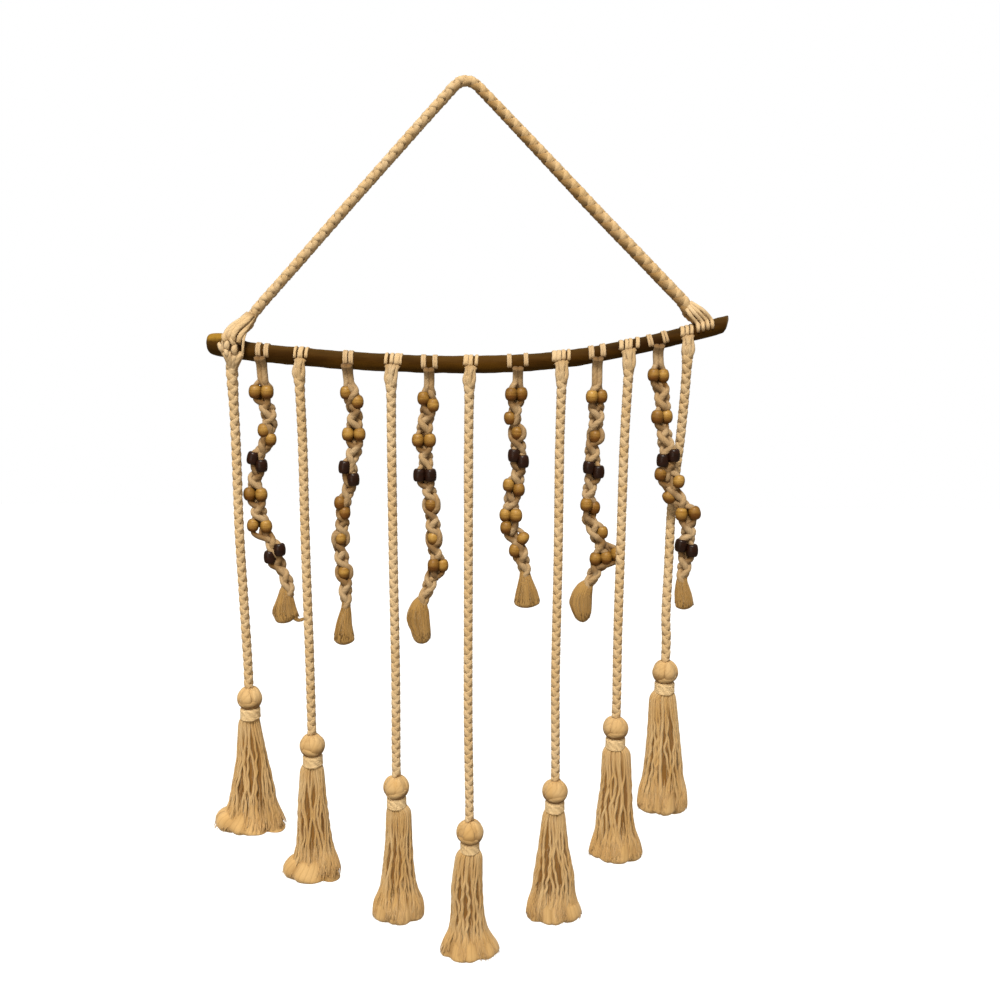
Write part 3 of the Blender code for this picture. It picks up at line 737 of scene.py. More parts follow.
def turn_on_branch(x, half_wide, front_end, lean, rng, back_end=228, deep=0.0014):
    """One strand from low on the front, over the top, down to under the back."""
    degrees = np.radians(np.linspace(front_end, back_end, TURN_STEPS))
    share = np.linspace(0, 1, TURN_STEPS)
    xs = x + lean * np.sin(degrees + rng.normal(0, 0.2))
    middle = np.array([branch_at(v) for v in xs])
    # both ends dive between the bark and the other strands
    sink = TURN_SINK * held(1 - share / 0.07) + TURN_SINK * held(share / 0.07 - 13.3)
    reach = middle[:, 1] + 0.45 * deep - sink
    points = xyz(xs, -np.cos(degrees) * reach, middle[:, 0] + np.sin(degrees) * reach)
    outward = xyz(0, -np.cos(degrees), np.sin(degrees))
    shade = 0.8 * held(1 - share / 0.10)
    return strand(points, outward, half_wide, deep, tint=rng.uniform(0.0, 0.5), depth=shade, side_shade=0.35)


CORD_KNOTS = {
    # knot: turns as (x, half width), both in mm, then where the arms of the V start
    2: (((-195.7, 1.7), (-189.3, 3.1), (-182.8, 2.0)), (-194.0, -184.5)),
    3: (((-91.5, 2.0), (-85.3, 2.3), (-79.2, 3.3), (-74.6, 1.4)), (-91.0, -77.0)),
    4: (((-0.3, 3.0), (5.2, 2.6), (11.8, 2.0)), (0.5, 11.0)),
    5: (((100.9, 3.0), (106.2, 2.8), (111.5, 2.4), (117.4, 2.0)), (103.0, 116.0)),
    6: (((177.2, 2.7), (183.3, 2.3), (187.9, 2.1), (195.8, 2.4)), (179.0, 193.0)),
    7: (((246.6, 2.5), (251.8, 2.4), (256.6, 2.0)), (247.5, 258.0)),
}


def arms_of_v(top, arm_starts, rng):
    """Four strands from low on the branch's front into the top of a braid; the inner two cross."""
    arms = []
    for number, share in enumerate((0.0, 0.34, 0.66, 1.0)):
        x = arm_starts[0] + (arm_starts[1] - arm_starts[0]) * share
        z, radius = branch_at(x)
        low = np.radians((-16, -8, -12, -18)[number] + rng.uniform(-4, 4))
        start = (x, -np.cos(low) * (radius - 0.0008), z + np.sin(low) * (radius - 0.0008))
        inner = number in (1, 2)
        side = (2 * share - 1) * (-0.9 if inner else 1)
        bulge = 0.0020 if inner else 0.0
        over = (0.7 * x + 0.3 * top[0], -radius * 0.90 - 0.0012 - bulge, z - radius * 0.62)
        middle = (top[0] + side * (0.0030 if inner else 0.0052), -0.0100 - bulge, top[2] - 0.0016)
        end = (top[0] + side * 0.0036, -0.0088 - bulge * 0.7, top[2] - 0.0085)
        inside = (top[0] + side * 0.0014, -0.0056, top[2] - 0.0165)
        line = smooth_line([start, over, middle, end, inside], 0.0014)
        # painted shade at the top of each arm, low under the branch
        arms.append(strand(line, (0, -1, 0.1), ARM_HALF, 0.0021, tint=rng.uniform(0.0, 0.6), side_shade=0.45,
                           depth=0.5 * held(1 - np.linspace(0, 1, len(line)) / 0.25)))
    return arms


for number, (turns, arm_starts) in CORD_KNOTS.items():
    rng = np.random.default_rng(100 + number)
    strands = []
    for x, half in turns:
        front_end = -14 + rng.uniform(-6, 6)
        strands.append(turn_on_branch(x / 1000, half / 1000, front_end, KNOT_LEAN, rng, deep=TURN_DEEP))
    strands += arms_of_v(cord_tops[number], in_mm(arm_starts), rng)
    knot = piece_of(f"knot_of_cord_{number}", strands, braid_cotton, [f"cord_knot_{number}"])
    print(f"knot {number}: {len(turns)} turns, {triangles(knot)} triangles")

# %% [markdown]
# ## The two lashings
#
# At the left the rope's strands open as they come down on the branch, cross over
# its front in fat lumps and close again in a V as the first long cord.  One thin
# strand slants down beside them.  At the right they fan out into four short
# slanting turns that lie on the upper half of the branch.

# %% Left lashing
rng = np.random.default_rng(301)
strands = []
# turns that go round under the lumps
for x, lean in ((-0.2755, 0.0015), (-0.2710, -0.0015), (-0.2660, 0.0015), (-0.2615, -0.0010)):
    strands.append(turn_on_branch(x, 0.0026, -60, lean, rng, back_end=240))
LEFT_STRANDS = [
    # the rope's own strands, from its end down over the branch, left one first
    [(-246.5, -1, -246.0), (-255.5, -7, -253.0), (-264.5, -11, -259.5), (-270.5, -14, -266.5),
     (-272.6, -16.5, -275.0)],
    [(-244.8, -5, -246.0), (-252.5, -11, -253.5), (-260.5, -15, -260.5), (-265.8, -18, -268.5),
     (-267.0, -18, -276.0)],
    [(-242.8, -6, -247.5), (-248.6, -12, -254.5), (-256.5, -16, -261.5), (-261.5, -19, -269.5),
     (-262.5, -19, -276.5)],
    [(-241.2, -3, -248.5), (-245.8, -9, -256.5), (-250.5, -13, -264.0), (-255.0, -16.5, -271.0),
     (-257.2, -17, -278.5)],
    # and the two arms of the V that close to the cord
    [(-275.5, -12, -285.5), (-273.3, -16.5, -290.0), (-270.6, -15.5, -296.5), (-269.6, -11.5, -304.0),
     (-269.2, -8.0, -313.0)],
    [(-269.5, -14, -287.0), (-268.6, -17.5, -292.0), (-267.8, -15.5, -298.5), (-268.0, -11.0, -307.0),
     (-268.4, -7.5, -314.0)],
    [(-255.5, -12, -289.5), (-257.0, -16.0, -293.5), (-260.0, -15.5, -298.5), (-263.4, -12.0, -304.0),
     (-266.4, -9.0, -311.0)],
    [(-261.0, -14, -290.0), (-262.2, -16.5, -294.0), (-264.0, -15.0, -299.5), (-266.2, -11.0, -306.5),
     (-267.6, -7.5, -314.0)],
]
# fat little lumps, where the strands cross: x, z, how they lean, half their width and their length
LEFT_LUMPS = [
    (-272.3, -273.8, -0.30, 3.2, 10.0), (-263.4, -276.6, -0.35, 3.1, 11.5), (-269.8, -281.2, 0.10, 3.4, 12.5),
    (-277.0, -284.0, -0.45, 2.9, 10.5), (-261.6, -286.2, 0.08, 3.4, 12.5), (-270.6, -290.0, -0.25, 2.8, 9.5),
]
# a broad strand behind them, painted with shade, closes the gaps
filler = smooth_line([(-0.2465, 0.0, -0.2470), (-0.2545, -0.0040, -0.2560), (-0.2605, -0.0065, -0.2660),
                      (-0.2655, -0.0090, -0.2780)], 0.0020)
strands.append(strand(filler, (0, -1, 0.35), np.linspace(0.0060, 0.0095, len(filler)), 0.0030,
                      tint=0.5, depth=0.25))
for i, route in enumerate(LEFT_STRANDS):
    line = smooth_line(in_mm(route), 0.0015)
    share = np.linspace(0, 1, len(line))
    swell = 0.0030 + 0.0005 * np.sin(math.pi * share)
    # painted shade at the ends, where a strand goes under the others
    ends = held(1 - share / 0.16) + (held(share / 0.16 - 5.25) if i < 4 else 0)
    strands.append(strand(line, (0, -1, 0.35), swell, 0.0023, tint=rng.uniform(0.0, 0.5), side_shade=0.65,
                          depth=0.6 * ends))
for x, z, lean, half, length in LEFT_LUMPS:
    t = np.linspace(-1, 1, 15)
    bow = np.sqrt(1 - (0.98 * t) ** 2)
    path = xyz(x - lean * t * length / 2, -13.5 - 5.5 * bow, z - t * length / 2) / 1000
    # painted shade at both ends of a lump
    strands.append(strand(path, (0, -1, 0.25), half / 1000 * (0.25 + 0.75 * bow), 0.0026 * (0.3 + 0.7 * bow),
                          sides=10, tint=rng.uniform(0.0, 0.5), side_shade=0.60, depth=0.35 * (1 - bow)))
# the thin strand beside them
thin = smooth_line([(-0.2490, -0.0110, -0.2650), (-0.2508, -0.0160, -0.2730), (-0.2522, -0.0170, -0.2830),
                    (-0.2538, -0.0150, -0.2925), (-0.2585, -0.0120, -0.3010),
                    (-0.2640, -0.0080, -0.3100)], 0.0015)
strands.append(strand(thin, (0, -1, 0.1), 0.0015, 0.0012, tint=0.1))
left_lashing = piece_of("left_lashing_turns", strands, braid_cotton, ["lashing_left"])
print("left lashing:", triangles(left_lashing), "triangles")

# %% Right lashing
rng = np.random.default_rng(302)
strands = []
# a broad strand at the back of the fan, painted with shade
fan_back = smooth_line([(0.2460, 0.0020, -0.2290), (0.2575, 0.0, -0.2400), (0.2675, -0.0010, -0.2490),
                        (0.2715, -0.0050, -0.2560)], 0.0020)
strands.append(strand(fan_back, (0, -1, 0.3), np.linspace(0.0055, 0.0095, len(fan_back)), 0.0040,
                      tint=0.6, depth=0.30))
for x, lean in ((0.2638, 0.0010), (0.2693, 0.0012), (0.2748, 0.0014), (0.2797, 0.0006)):
    front_end = 2 + rng.uniform(-4, 6)
    strands.append(turn_on_branch(x, 0.0019, front_end, -lean, rng, back_end=232))
for i, x in enumerate((0.2632, 0.2686, 0.2740, 0.2790)):
    z, radius = branch_at(x)
    share = i / 3
    start = (0.2490 + 0.0060 * share, -0.0030, -0.2345 + 0.0040 * share)
    high = (0.2540 + 0.0140 * share, -0.0088 - 0.001 * (i % 2), -0.2440 + 0.0050 * share)
    top = (x - 0.0006, -0.0070, z + radius + 0.0010)
    front = (x + 0.0006, -radius - 0.0014, z + 0.0045)
    low = (x + 0.0010, -radius + 0.0004, z + 0.0005)
    line = smooth_line([start, high, top, front, low], 0.0016)
    share = np.linspace(0, 1, len(line))
    # painted shade on its low end, where it goes under the branch
    strands.append(strand(line, (0, -1, 0.45), 0.0027 - 0.0006 * share, 0.0020, tint=rng.uniform(0.0, 0.5),
                          side_shade=0.5, depth=0.7 * held(share / 0.12 - 7.3)))
right_lashing = piece_of("right_lashing_turns", strands, braid_cotton, ["lashing_right"])
print("right lashing:", triangles(right_lashing), "triangles")

# %% [markdown]
# ## Sinnets: the strands
#
# A sinnet starts as a lark's head on the branch: two flat turns with dark bark
# between them, and two legs that come out from under its loop.  Below, its four
# strands cross again and again, and some of them run through the beads.  So each
# strand follows a loose braid, is drawn to the middle of each bead that it
# carries, and is pressed behind the beads that it doesn't.  The height, middle
# and width of every stretch come from the plain sinnet.

# %% Where the light beads are
LIGHT_BEADS = {
    # sinnet: beads as (x, z) in mm and tone: l light, y yellow, b brown, r red-brown, o olive
    1: ((-244.5, -334.5, "l"), (-230.5, -335.0, "l"), (-237.5, -380.0, "l"), (-230.5, -391.0, "l"),
        (-258.0, -456.5, "b"), (-244.0, -457.0, "l"), (-255.5, -494.5, "l"), (-239.5, -495.5, "l")),
    2: ((-139.0, -335.0, "l"), (-126.0, -345.5, "l"), (-138.0, -383.5, "l"), (-124.5, -383.5, "l"),
        (-149.0, -465.0, "r"), (-144.0, -477.0, "r"), (-149.5, -508.0, "y"), (-146.5, -549.5, "y")),
    3: ((-49.5, -341.0, "l"), (-38.5, -349.0, "l"), (-56.5, -390.0, "l"), (-42.5, -390.0, "l"),
        (-41.5, -467.0, "b"), (-39.5, -507.0, "l"), (-39.0, -539.5, "b"), (-28.5, -541.0, "y")),
    4: ((52.0, -335.5, "b"), (64.0, -335.5, "b"), (51.0, -363.5, "b"), (59.5, -381.0, "b"),
        (50.0, -442.5, "l"), (62.0, -448.0, "b"), (46.5, -479.0, "l"), (59.0, -478.5, "l"),
        (47.5, -494.0, "b"), (67.5, -506.5, "l"), (58.0, -521.5, "l")),
    5: ((145.5, -338.0, "y"), (157.0, -338.0, "b"), (151.5, -385.0, "b"), (142.5, -466.5, "l"),
        (152.5, -471.0, "b"), (162.5, -500.5, "l"), (155.0, -533.0, "b"), (168.0, -531.5, "b"),
        (180.5, -526.5, "y")),
    6: ((215.5, -312.5, "b"), (227.5, -313.5, "l"), (221.0, -360.5, "b"), (232.5, -360.5, "l"),
        (227.0, -427.0, "o"), (248.5, -435.5, "y"), (237.5, -454.5, "b"), (253.0, -474.5, "y"),
        (268.5, -473.0, "b")),
}
print("light beads:", sum(len(row) for row in LIGHT_BEADS.values()))

# %% Sinnet lines and the beads on them
SINNET_STRAND = 0.0033        # half the thickness of one of its strands
SINNET_PITCH = 0.042
BEAD_HALF = 0.0060            # along its strand, the stretch that is straight inside it
BEAD_FADE = 0.0080
BEAD_CLEAR = 0.0084           # how near to a bead's axis the other strands come
BEAD_WIDTH = 0.0128           # two beads that are nearer than this would touch
BEAD_STEP_ASIDE = 0.0030      # how far one then goes forward and the other back


def sinnet_shape(number):
    """Heights, middles, planes, half widths and half depths of the plain sinnet."""
    rings = rings_of(f"sinnet_{number}", corners=EIGHT_SIDES)
    z, x, y, half, deep = np.array([(m[2], m[0], m[1], h[0], h[1]) for m, h in rings]).T
    y = y - np.where(deep < 0.0024, 0.0042, 0.0)      # the thin cores stand behind their plane
    return z, x, y, half, deep


def beads_of(number, z, y):
    """All beads of a sinnet as (x, y, z, tone), from the top down."""
    found = []
    for x_mm, z_mm, tone in LIGHT_BEADS[number]:
        at = z_mm / 1000
        found.append([x_mm / 1000, float(np.interp(-at, -z, y)) - 0.0010, at, tone])
    for name in nodes:
        if name.startswith(f"dark_bead_{number}_"):
            low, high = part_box(name)
            middle = (low + high) / 2
            found.append([middle.x, middle.y, middle.z, "dark"])
    found.sort(key=lambda bead: -bead[2])
    # where two beads of a row are closer than a bead's width, one stands forward
    for i, bead in enumerate(found):
        for other in found[i + 1:i + 3]:
            close = math.hypot(bead[0] - other[0], bead[2] - other[2])
            if close < BEAD_WIDTH and "dark" not in (bead[3], other[3]):
                bead[1] -= BEAD_STEP_ASIDE
                other[1] += BEAD_STEP_ASIDE
    return found


def bump_near(z, at, half, fade):
    """One close to a height, and smoothly nothing beyond."""
    return eased((half + fade - np.abs(z - at)) / fade)


def past_beads(line, level, beads, rng):
    """The line led past every bead: beside it, or behind it, but not across its face."""
    line = line.copy()
    for bx, by, bz, _ in beads:
        near = bump_near(level, bz, 0.0035, BEAD_FADE)
        weight = near / max(near.sum(), 1e-9)
        dx = float((weight * (line[:, 0] - bx)).sum())
        dy = float((weight * (line[:, 1] - by)).sum())
        if math.hypot(dx, dy) > BEAD_CLEAR:
            continue
        partners = [b for b in beads if 0.004 < abs(b[0] - bx) < 0.020 and abs(b[2] - bz) < 0.008]
        if partners:
            # a pair fills the width, so that the rest of the strands go behind it
            line[:, 1] += near * (by + 0.0075 - line[:, 1])
            continue
        side = math.copysign(1.0, dx) if abs(dx) > 0.0008 else rng.choice((-1.0, 1.0))
        angle = max(math.radians(70), math.atan2(abs(dx), -dy))      # 0 is straight in front
        line[:, 0] += near * (bx + side * BEAD_CLEAR * math.sin(angle) - line[:, 0])
        line[:, 1] += near * (by - BEAD_CLEAR * math.cos(angle) - line[:, 1])
    return line


def sinnet_strands(number, brush_z):
    """The four strands and the two core strands of one sinnet, from its knot to its brush."""
    rng = np.random.default_rng(500 + number)
    z, x, y, half, _ = sinnet_shape(number)
    beads = beads_of(number, z, y)
    # the legs come out from under the loop, low on the branch's front
    above, radius = branch_at(x[0])
    level = np.arange(max(z[0] + 0.0045, above - 0.50 * radius), brush_z - 0.006, -0.0016)
    middle_x = soften(np.interp(-level, -z, x), 8)
    middle_y = soften(np.interp(-level, -z, y), 4)
    width = soften(np.clip(np.interp(-level, -z, half), 0.0066, 0.0092), 4) / 0.0072
    first_bead = max(bead[2] for bead in beads)
    legs = held((level - first_bead - 0.004) / 0.008)
    closing = held((level - level[-1]) / 0.016)   # they draw together into the brush
    # there they lie on the bark, and lower down they draw back to the sinnet's own plane
    low = held((above - level) / radius)
    on_bark = -radius * np.sqrt(1 - low ** 2) - 0.0022
    rise = held(1 - (above - 0.75 * radius - level) / (0.9 * radius))
    phase = 2 * np.pi * (z[0] - level) / SINNET_PITCH + rng.uniform(0, 0.6)

    lines = []
    for k in range(4):
        sense = 1 if k < 2 else -1
        theta = sense * phase + math.pi * (k % 2) + CROSSINGS_AT
        reach = (0.0054 + 0.0012 * sense * np.cos(2 * phase)) * width * (0.4 + 0.6 * closing)
        dx = reach * np.cos(theta)
        dy = -0.75 * reach * np.sin(theta)
        # the legs: two strands each, one before the other
        leg_x = (-1 if k % 2 == 0 else 1) * (0.0026 + 0.0004 * (k // 2))
        leg_y = -0.0014 if k < 2 else 0.0018
        dx = dx * (1 - legs) + leg_x * legs
        dy = dy * (1 - legs) + leg_y * legs + np.minimum(on_bark - middle_y, 0) * rise
        lines.append(xyz(middle_x + dx, middle_y + dy, level))

    # each bead takes the strand that is nearest to it, and a pair takes two
    carried = [[] for _ in range(4)]
    for bx, by, bz, _ in beads:
        row = int(np.argmin(np.abs(level - bz)))
        order = sorted(range(4), key=lambda k: abs(lines[k][row, 0] - bx) + 0.3 * abs(lines[k][row, 1] - by))
        busy = [k for k in range(4) if any(abs(b[2] - bz) < 0.0145 for b in carried[k])]
        free = [k for k in order if k not in busy] or order
        carried[free[0]].append((bx, by, bz))
    for k in range(4):
        others = [bead for bead in beads if tuple(bead[:3]) not in carried[k]]
        line = past_beads(lines[k], level, others, rng)
        for bx, by, bz in carried[k]:
            near = bump_near(level, bz - 0.0022, BEAD_HALF + 0.0022, BEAD_FADE)
            line[:, 0] += near * (bx - line[:, 0])
            line[:, 1] += near * (by - line[:, 1])
        lines[k] = soften(line, 3)

    # two straighter strands run through the middle, behind the rest
    cores = []
    below = level < z[0] - 0.004
    for side in (-1, 1):
        wave = side * 0.0019 * np.cos(np.pi * (z[0] - level) / SINNET_PITCH * 1.7)
        core = xyz(middle_x + wave, middle_y + 0.0012, level)
        cores.append(soften(past_beads(core, level, beads, rng), 3)[below])
    return lines, cores, beads, (level, middle_x, middle_y, below)


def braid_outward(line, middle):
    """Directions from the sinnet's middle line out to a strand."""
    away = line - middle
    away[:, 2] = 0
    away[:, 1] -= 0.002
    return unit(away)


# three of the combed ends, as the photograph shows them: height, middle and half width, in mm
BRUSH_OUTLINES = {
    1: ((-568, -219.0, 5.0), (-582, -219.5, 8.5), (-596, -221.0, 13.0), (-604, -220.5, 14.5),
        (-611, -217.5, 13.5), (-617, -215.0, 7.5)),
    3: ((-580, -53.0, 4.6), (-585, -55.0, 7.3), (-590, -57.0, 10.0), (-598, -58.0, 12.5), (-605, -58.5, 13.5),
        (-612, -58.0, 13.2), (-618, -56.0, 11.5), (-630, -54.0, 10.2), (-641, -53.0, 8.5)),
    5: ((-562, 145.5, 5.0), (-568, 143.0, 9.5), (-579, 139.0, 12.2), (-588, 138.0, 13.0), (-597, 139.5, 11.2),
        (-607, 141.5, 8.5), (-615, 142.5, 5.0)),
}
# where some beads stand out from the rest: x, how far behind the middle, and z, in mm
BEHIND_BEADS = {
    3: [(-37.0, 1.0, -530.0), (-34.0, 2.5, -539.0), (-33.5, 2.5, -549.0), (-38.0, 1.0, -558.0)],
    5: [(156.0, 1.0, -512.0), (167.0, 2.5, -518.5), (175.5, 3.5, -526.0), (174.5, 3.5, -534.5),
        (161.0, 1.0, -544.0)],
    6: [(229.0, 1.0, -423.0), (231.0, 2.5, -430.0), (231.5, 2.5, -437.0), (237.0, 1.0, -446.0)],
}
sinnet_beads = {}
brush_tops = {}
for number in range(1, 7):
    z, _, _, _, deep = sinnet_shape(number)
    # the combed end is the last stretch that is 4.8 mm deep each way
    brush_from = z[[i for i in range(len(z)) if abs(deep[i] - 0.0048) < 0.0002][0]]
    if number in BRUSH_OUTLINES:
        brush_from = BRUSH_OUTLINES[number][0][0] / 1000 - 0.008
    lines, cores, beads, (level, middle_x, middle_y, below) = sinnet_strands(number, brush_from)
    middle = xyz(middle_x, middle_y, level)
    strands = []
    rng = np.random.default_rng(520 + number)
    for line in lines:
        # painted shade on the stretches that lie behind the sinnet's middle
        depth = np.clip((line[:, 1] - middle_y - 0.002) / 0.006, 0, 0.45)
        # painted shade: darker where it comes out of the knot, and in the hollows by the beads and under them
        depth = np.maximum(depth, 0.16 + 0.5 * held(1 - (level[0] - level) / 0.006))
        for bx, _, bz, _ in beads:
            aside = held(1.6 - np.abs(line[:, 0] - bx) / 0.010)
            depth = np.maximum(depth, 0.45 * aside * bump_near(level, bz + 0.002, 0.0040, 0.0060))
            depth = np.maximum(depth, 0.72 * aside * bump_near(level, bz - 0.0105, 0.0030, 0.0050))
        strands.append(strand(line, braid_outward(line, middle), SINNET_STRAND * 1.15, SINNET_STRAND * 0.92,
                              tint=rng.uniform(0.1, 0.9), depth=depth, side_shade=0.38))
    # the two cores are painted with shade, behind the rest
    for core in cores:
        strands.append(strand(core, braid_outward(core, middle[below]), 0.0041, 0.0028, tint=0.6, depth=0.55))
    if number in BEHIND_BEADS:
        # one more strand behind, painted with shade, closes the gap beside beads that stand out
        behind = smooth_line(in_mm(BEHIND_BEADS[number]), 0.0018)
        behind[:, 1] += np.interp(-behind[:, 2], -level, middle_y)
        strands.append(strand(behind, (0, -1, 0), 0.0044, 0.0026, tint=0.6, depth=0.6))
    sinnet = piece_of(f"sinnet_strands_{number}", strands, sinnet_cotton, [f"sinnet_{number}"])
    sinnet_beads[number] = (beads, lines)
    brush_tops[number] = brush_from
    print(f"sinnet {number}: {len(beads)} beads, {triangles(sinnet)} triangles")

# %% Lark's heads of the sinnets
SINNET_TURNS = {
    # sinnet: x of the left and right turn and half width of each, in mm
    1: (-237.2, -227.9, 2.9), 2: (-138.0, -131.4, 2.8), 3: (-48.4, -35.2, 2.9),
    4: (49.9, 69.0, 2.7), 5: (143.5, 156.8, 3.2), 6: (211.3, 227.8, 3.0),
}
for number, (left, right_x, half) in SINNET_TURNS.items():
    rng = np.random.default_rng(600 + number)
    strands = []
    slant = 0.0022 if number == 6 else 0.0004
    for x in (left, right_x):
        for side in (-1, 1):
            front_end = -32 + rng.uniform(-4, 4)
            strands.append(turn_on_branch((x + side * half * 0.46) / 1000, half * 0.56 / 1000, front_end,
                                          -slant, rng, deep=TURN_DEEP))
    knot = piece_of(f"knot_of_sinnet_{number}", strands, sinnet_cotton,
                    [f"sinnet_knot_{number}"])
print("lark's heads:", len(SINNET_TURNS))

# %% [markdown]
# ## Wooden beads
#
# Beads are turned on a lathe and drilled, so they are made that way: a profile
# with its bore is spun round an axis.  The light ones are nearly round with a
# faint banding, in tones from yellow to brown.  The dark ones are taller barrels
# with a soft gloss.  Each is a copy with its own mesh, tilted along its strand.


# %% Turning a bead
BEAD_STEPS = 22               # round its axis
BEAD_BORE = 0.0023
BORE_EDGE = 0.0008            # how deep the softened edge of the bore is
PROFILE_END = math.radians(66)     # where the outer curve of a profile stops


def turn_bead(name, radius, height, roundness):
    """Spin a bead's profile, with its bore, into a closed solid round Z at the origin."""
    outline = []
    for t in np.linspace(-1, 1, 11):
        angle = t * PROFILE_END
        outline.append((radius * math.cos(angle) ** roundness,
                        height / 2 * math.sin(angle) / math.sin(PROFILE_END)))
    outline[0] = (outline[0][0] * 0.94, outline[0][1])
    outline[-1] = (outline[-1][0] * 0.94, outline[-1][1])
    outline += [(BEAD_BORE * 1.15, height / 2), (BEAD_BORE, height / 2 - BORE_EDGE), (BEAD_BORE, 0.0),
                (BEAD_BORE, -height / 2 + BORE_EDGE), (BEAD_BORE * 1.15, -height / 2)]
    mesh = bpy.data.meshes.new(name)
    count = len(outline)
    mesh.from_pydata([(r, 0, h) for r, h in outline], [(i, (i + 1) % count) for i in range(count)], [])
    bead = new_object(name, mesh)
    edit(bead)
    bpy.ops.mesh.spin(steps=BEAD_STEPS, angle=2 * math.pi, center=(0, 0, 0), axis=(0, 0, 1))
    bpy.ops.mesh.select_all(action="SELECT")
    bpy.ops.mesh.remove_doubles(threshold=0.00005)
    bpy.ops.mesh.normals_make_consistent(inside=False)
    bpy.ops.object.mode_set(mode="OBJECT")
    bpy.ops.object.shade_smooth_by_angle(angle=math.radians(50))
    return bead


light_bead = turn_bead("light bead pattern", 0.0071, 0.0148, 0.66)
dark_bead = turn_bead("dark bead pattern", 0.0073, 0.0148, 0.34)
print("bead triangles:", triangles(light_bead), triangles(dark_bead))

# %% Bead finishes
light_wood, light_colour = wood("light bead wood", (0.60, 0.360, 0.090), (0.31, 0.150, 0.020), 110.0,
                                (0.6, 0.6, 4.0), 0.45, 0.0002, coat=0.04, specular=0.25)
# each bead has its own tone, painted shade towards its underside, and painted shade round its rim
tree = light_wood.node_tree
browner_and_shaded = colour_mix(attribute(tree, "tint"), (1.0, 1.0, 1.0), (0.32, 0.20, 0.09))
tinted = colour_mix(1.0, light_colour, browner_and_shaded, blend="MULTIPLY")
rim_shaded = colour_mix(times(facing(tree, 0.40), 0.85), tinted, (0.13, 0.060, 0.006))
feed(tree.nodes["Principled BSDF"], {"Base Color": rim_shaded})
dark_wood, _ = wood("dark bead wood", (0.030, 0.009, 0.004), (0.010, 0.003, 0.001), 150.0,
                    (0.5, 0.5, 2.0), 0.30, 0.0002, specular=0.25)
print("bead finishes:", light_wood.name, dark_wood.name)

# %% Beads on their strands
TONES = {"l": 0.16, "y": 0.04, "b": 0.50, "r": 0.80, "o": 0.45, "dark": 0.5}


def copy_bead(pattern, place, tilt, size, tone):
    """A bead of its own at a place, tilted along its strand."""
    mesh = pattern.data.copy()
    turned = Vector((0, 0, 1)).rotation_difference(Vector(tilt)).to_matrix().to_4x4()
    mesh.transform(Matrix.Translation(place) @ turned @ Matrix.Scale(size, 4))
    # painted shade: darker towards its underside
    below = np.array([place[2] - v.co.z for v in mesh.vertices]) / 0.0070
    layer = mesh.attributes.new("tint", "FLOAT", "POINT")
    layer.data.foreach_set("value", held(tone + 0.95 * held(below + 0.15)).astype(np.float32))
    return new_object(pattern.name, mesh)


def strand_direction(lines, place):
    """The direction of the strand that passes nearest to a place."""
    best = None
    for line in lines:
        row = int(np.argmin(np.linalg.norm(line - np.array(place), axis=1)))
        distance = float(np.linalg.norm(line[row] - np.array(place)))
        if best is None or distance < best[0]:
            low, high = max(0, row - 4), min(len(line) - 1, row + 4)
            best = (distance, unit(line[low] - line[high]))
    return best[1]


for number, (beads, lines) in sinnet_beads.items():
    rng = np.random.default_rng(700 + number)
    groups = {"light": [], "dark": []}
    for x, y, z, tone in beads:
        kind = "dark" if tone == "dark" else "light"
        pattern = dark_bead if kind == "dark" else light_bead
        size = rng.uniform(0.98, 1.05) if kind == "light" else 1.0
        shade = TONES[tone] + rng.uniform(-0.08, 0.12)
        groups[kind].append(copy_bead(pattern, (x, y, z), strand_direction(lines, (x, y, z)), size, shade))
    for kind, copies in groups.items():
        let_go()
        for bead in copies:
            bead.select_set(True)
        bpy.context.view_layer.objects.active = copies[0]
        bpy.ops.object.join()
        joined = bpy.context.object
        joined.name = f"{kind}_beads_{number}"
        joined.data.materials.clear()
        joined.data.materials.append(dark_wood if kind == "dark" else light_wood)
        dark_names = [n for n in nodes if n.startswith(f"dark_bead_{number}_")]
        put_on(joined, dark_names if kind == "dark" else ())
for pattern in (light_bead, dark_bead):
    bpy.data.objects.remove(pattern)
print("beads placed on", len(sinnet_beads), "sinnets")

# %% [markdown]
# ## Combed-out ends of the sinnets
#
# Below its last knot each sinnet is combed out into a small soft brush.  Its
# strands come undone into thick locks, which fill the width of the plain solid or,
# in three of them, the width that the photograph shows.  Thin yarns lie over them.
# The first sinnet's right tip curls out sideways.

# %% Brushes
def ridge(angles, place, width):
    """One in a direction, and smoothly nothing away from it."""
    off = (angles - place + math.pi) % (2 * math.pi) - math.pi
    return np.exp(-(off / width) ** 2)


def crease_at(creases, angles):
    """How deep in a broad crease each direction round a bell is, from the creases' directions."""
    depth = np.zeros(np.shape(angles))
    for place in creases:
        depth = depth + ridge(angles, place, 0.24)
    return held(depth)


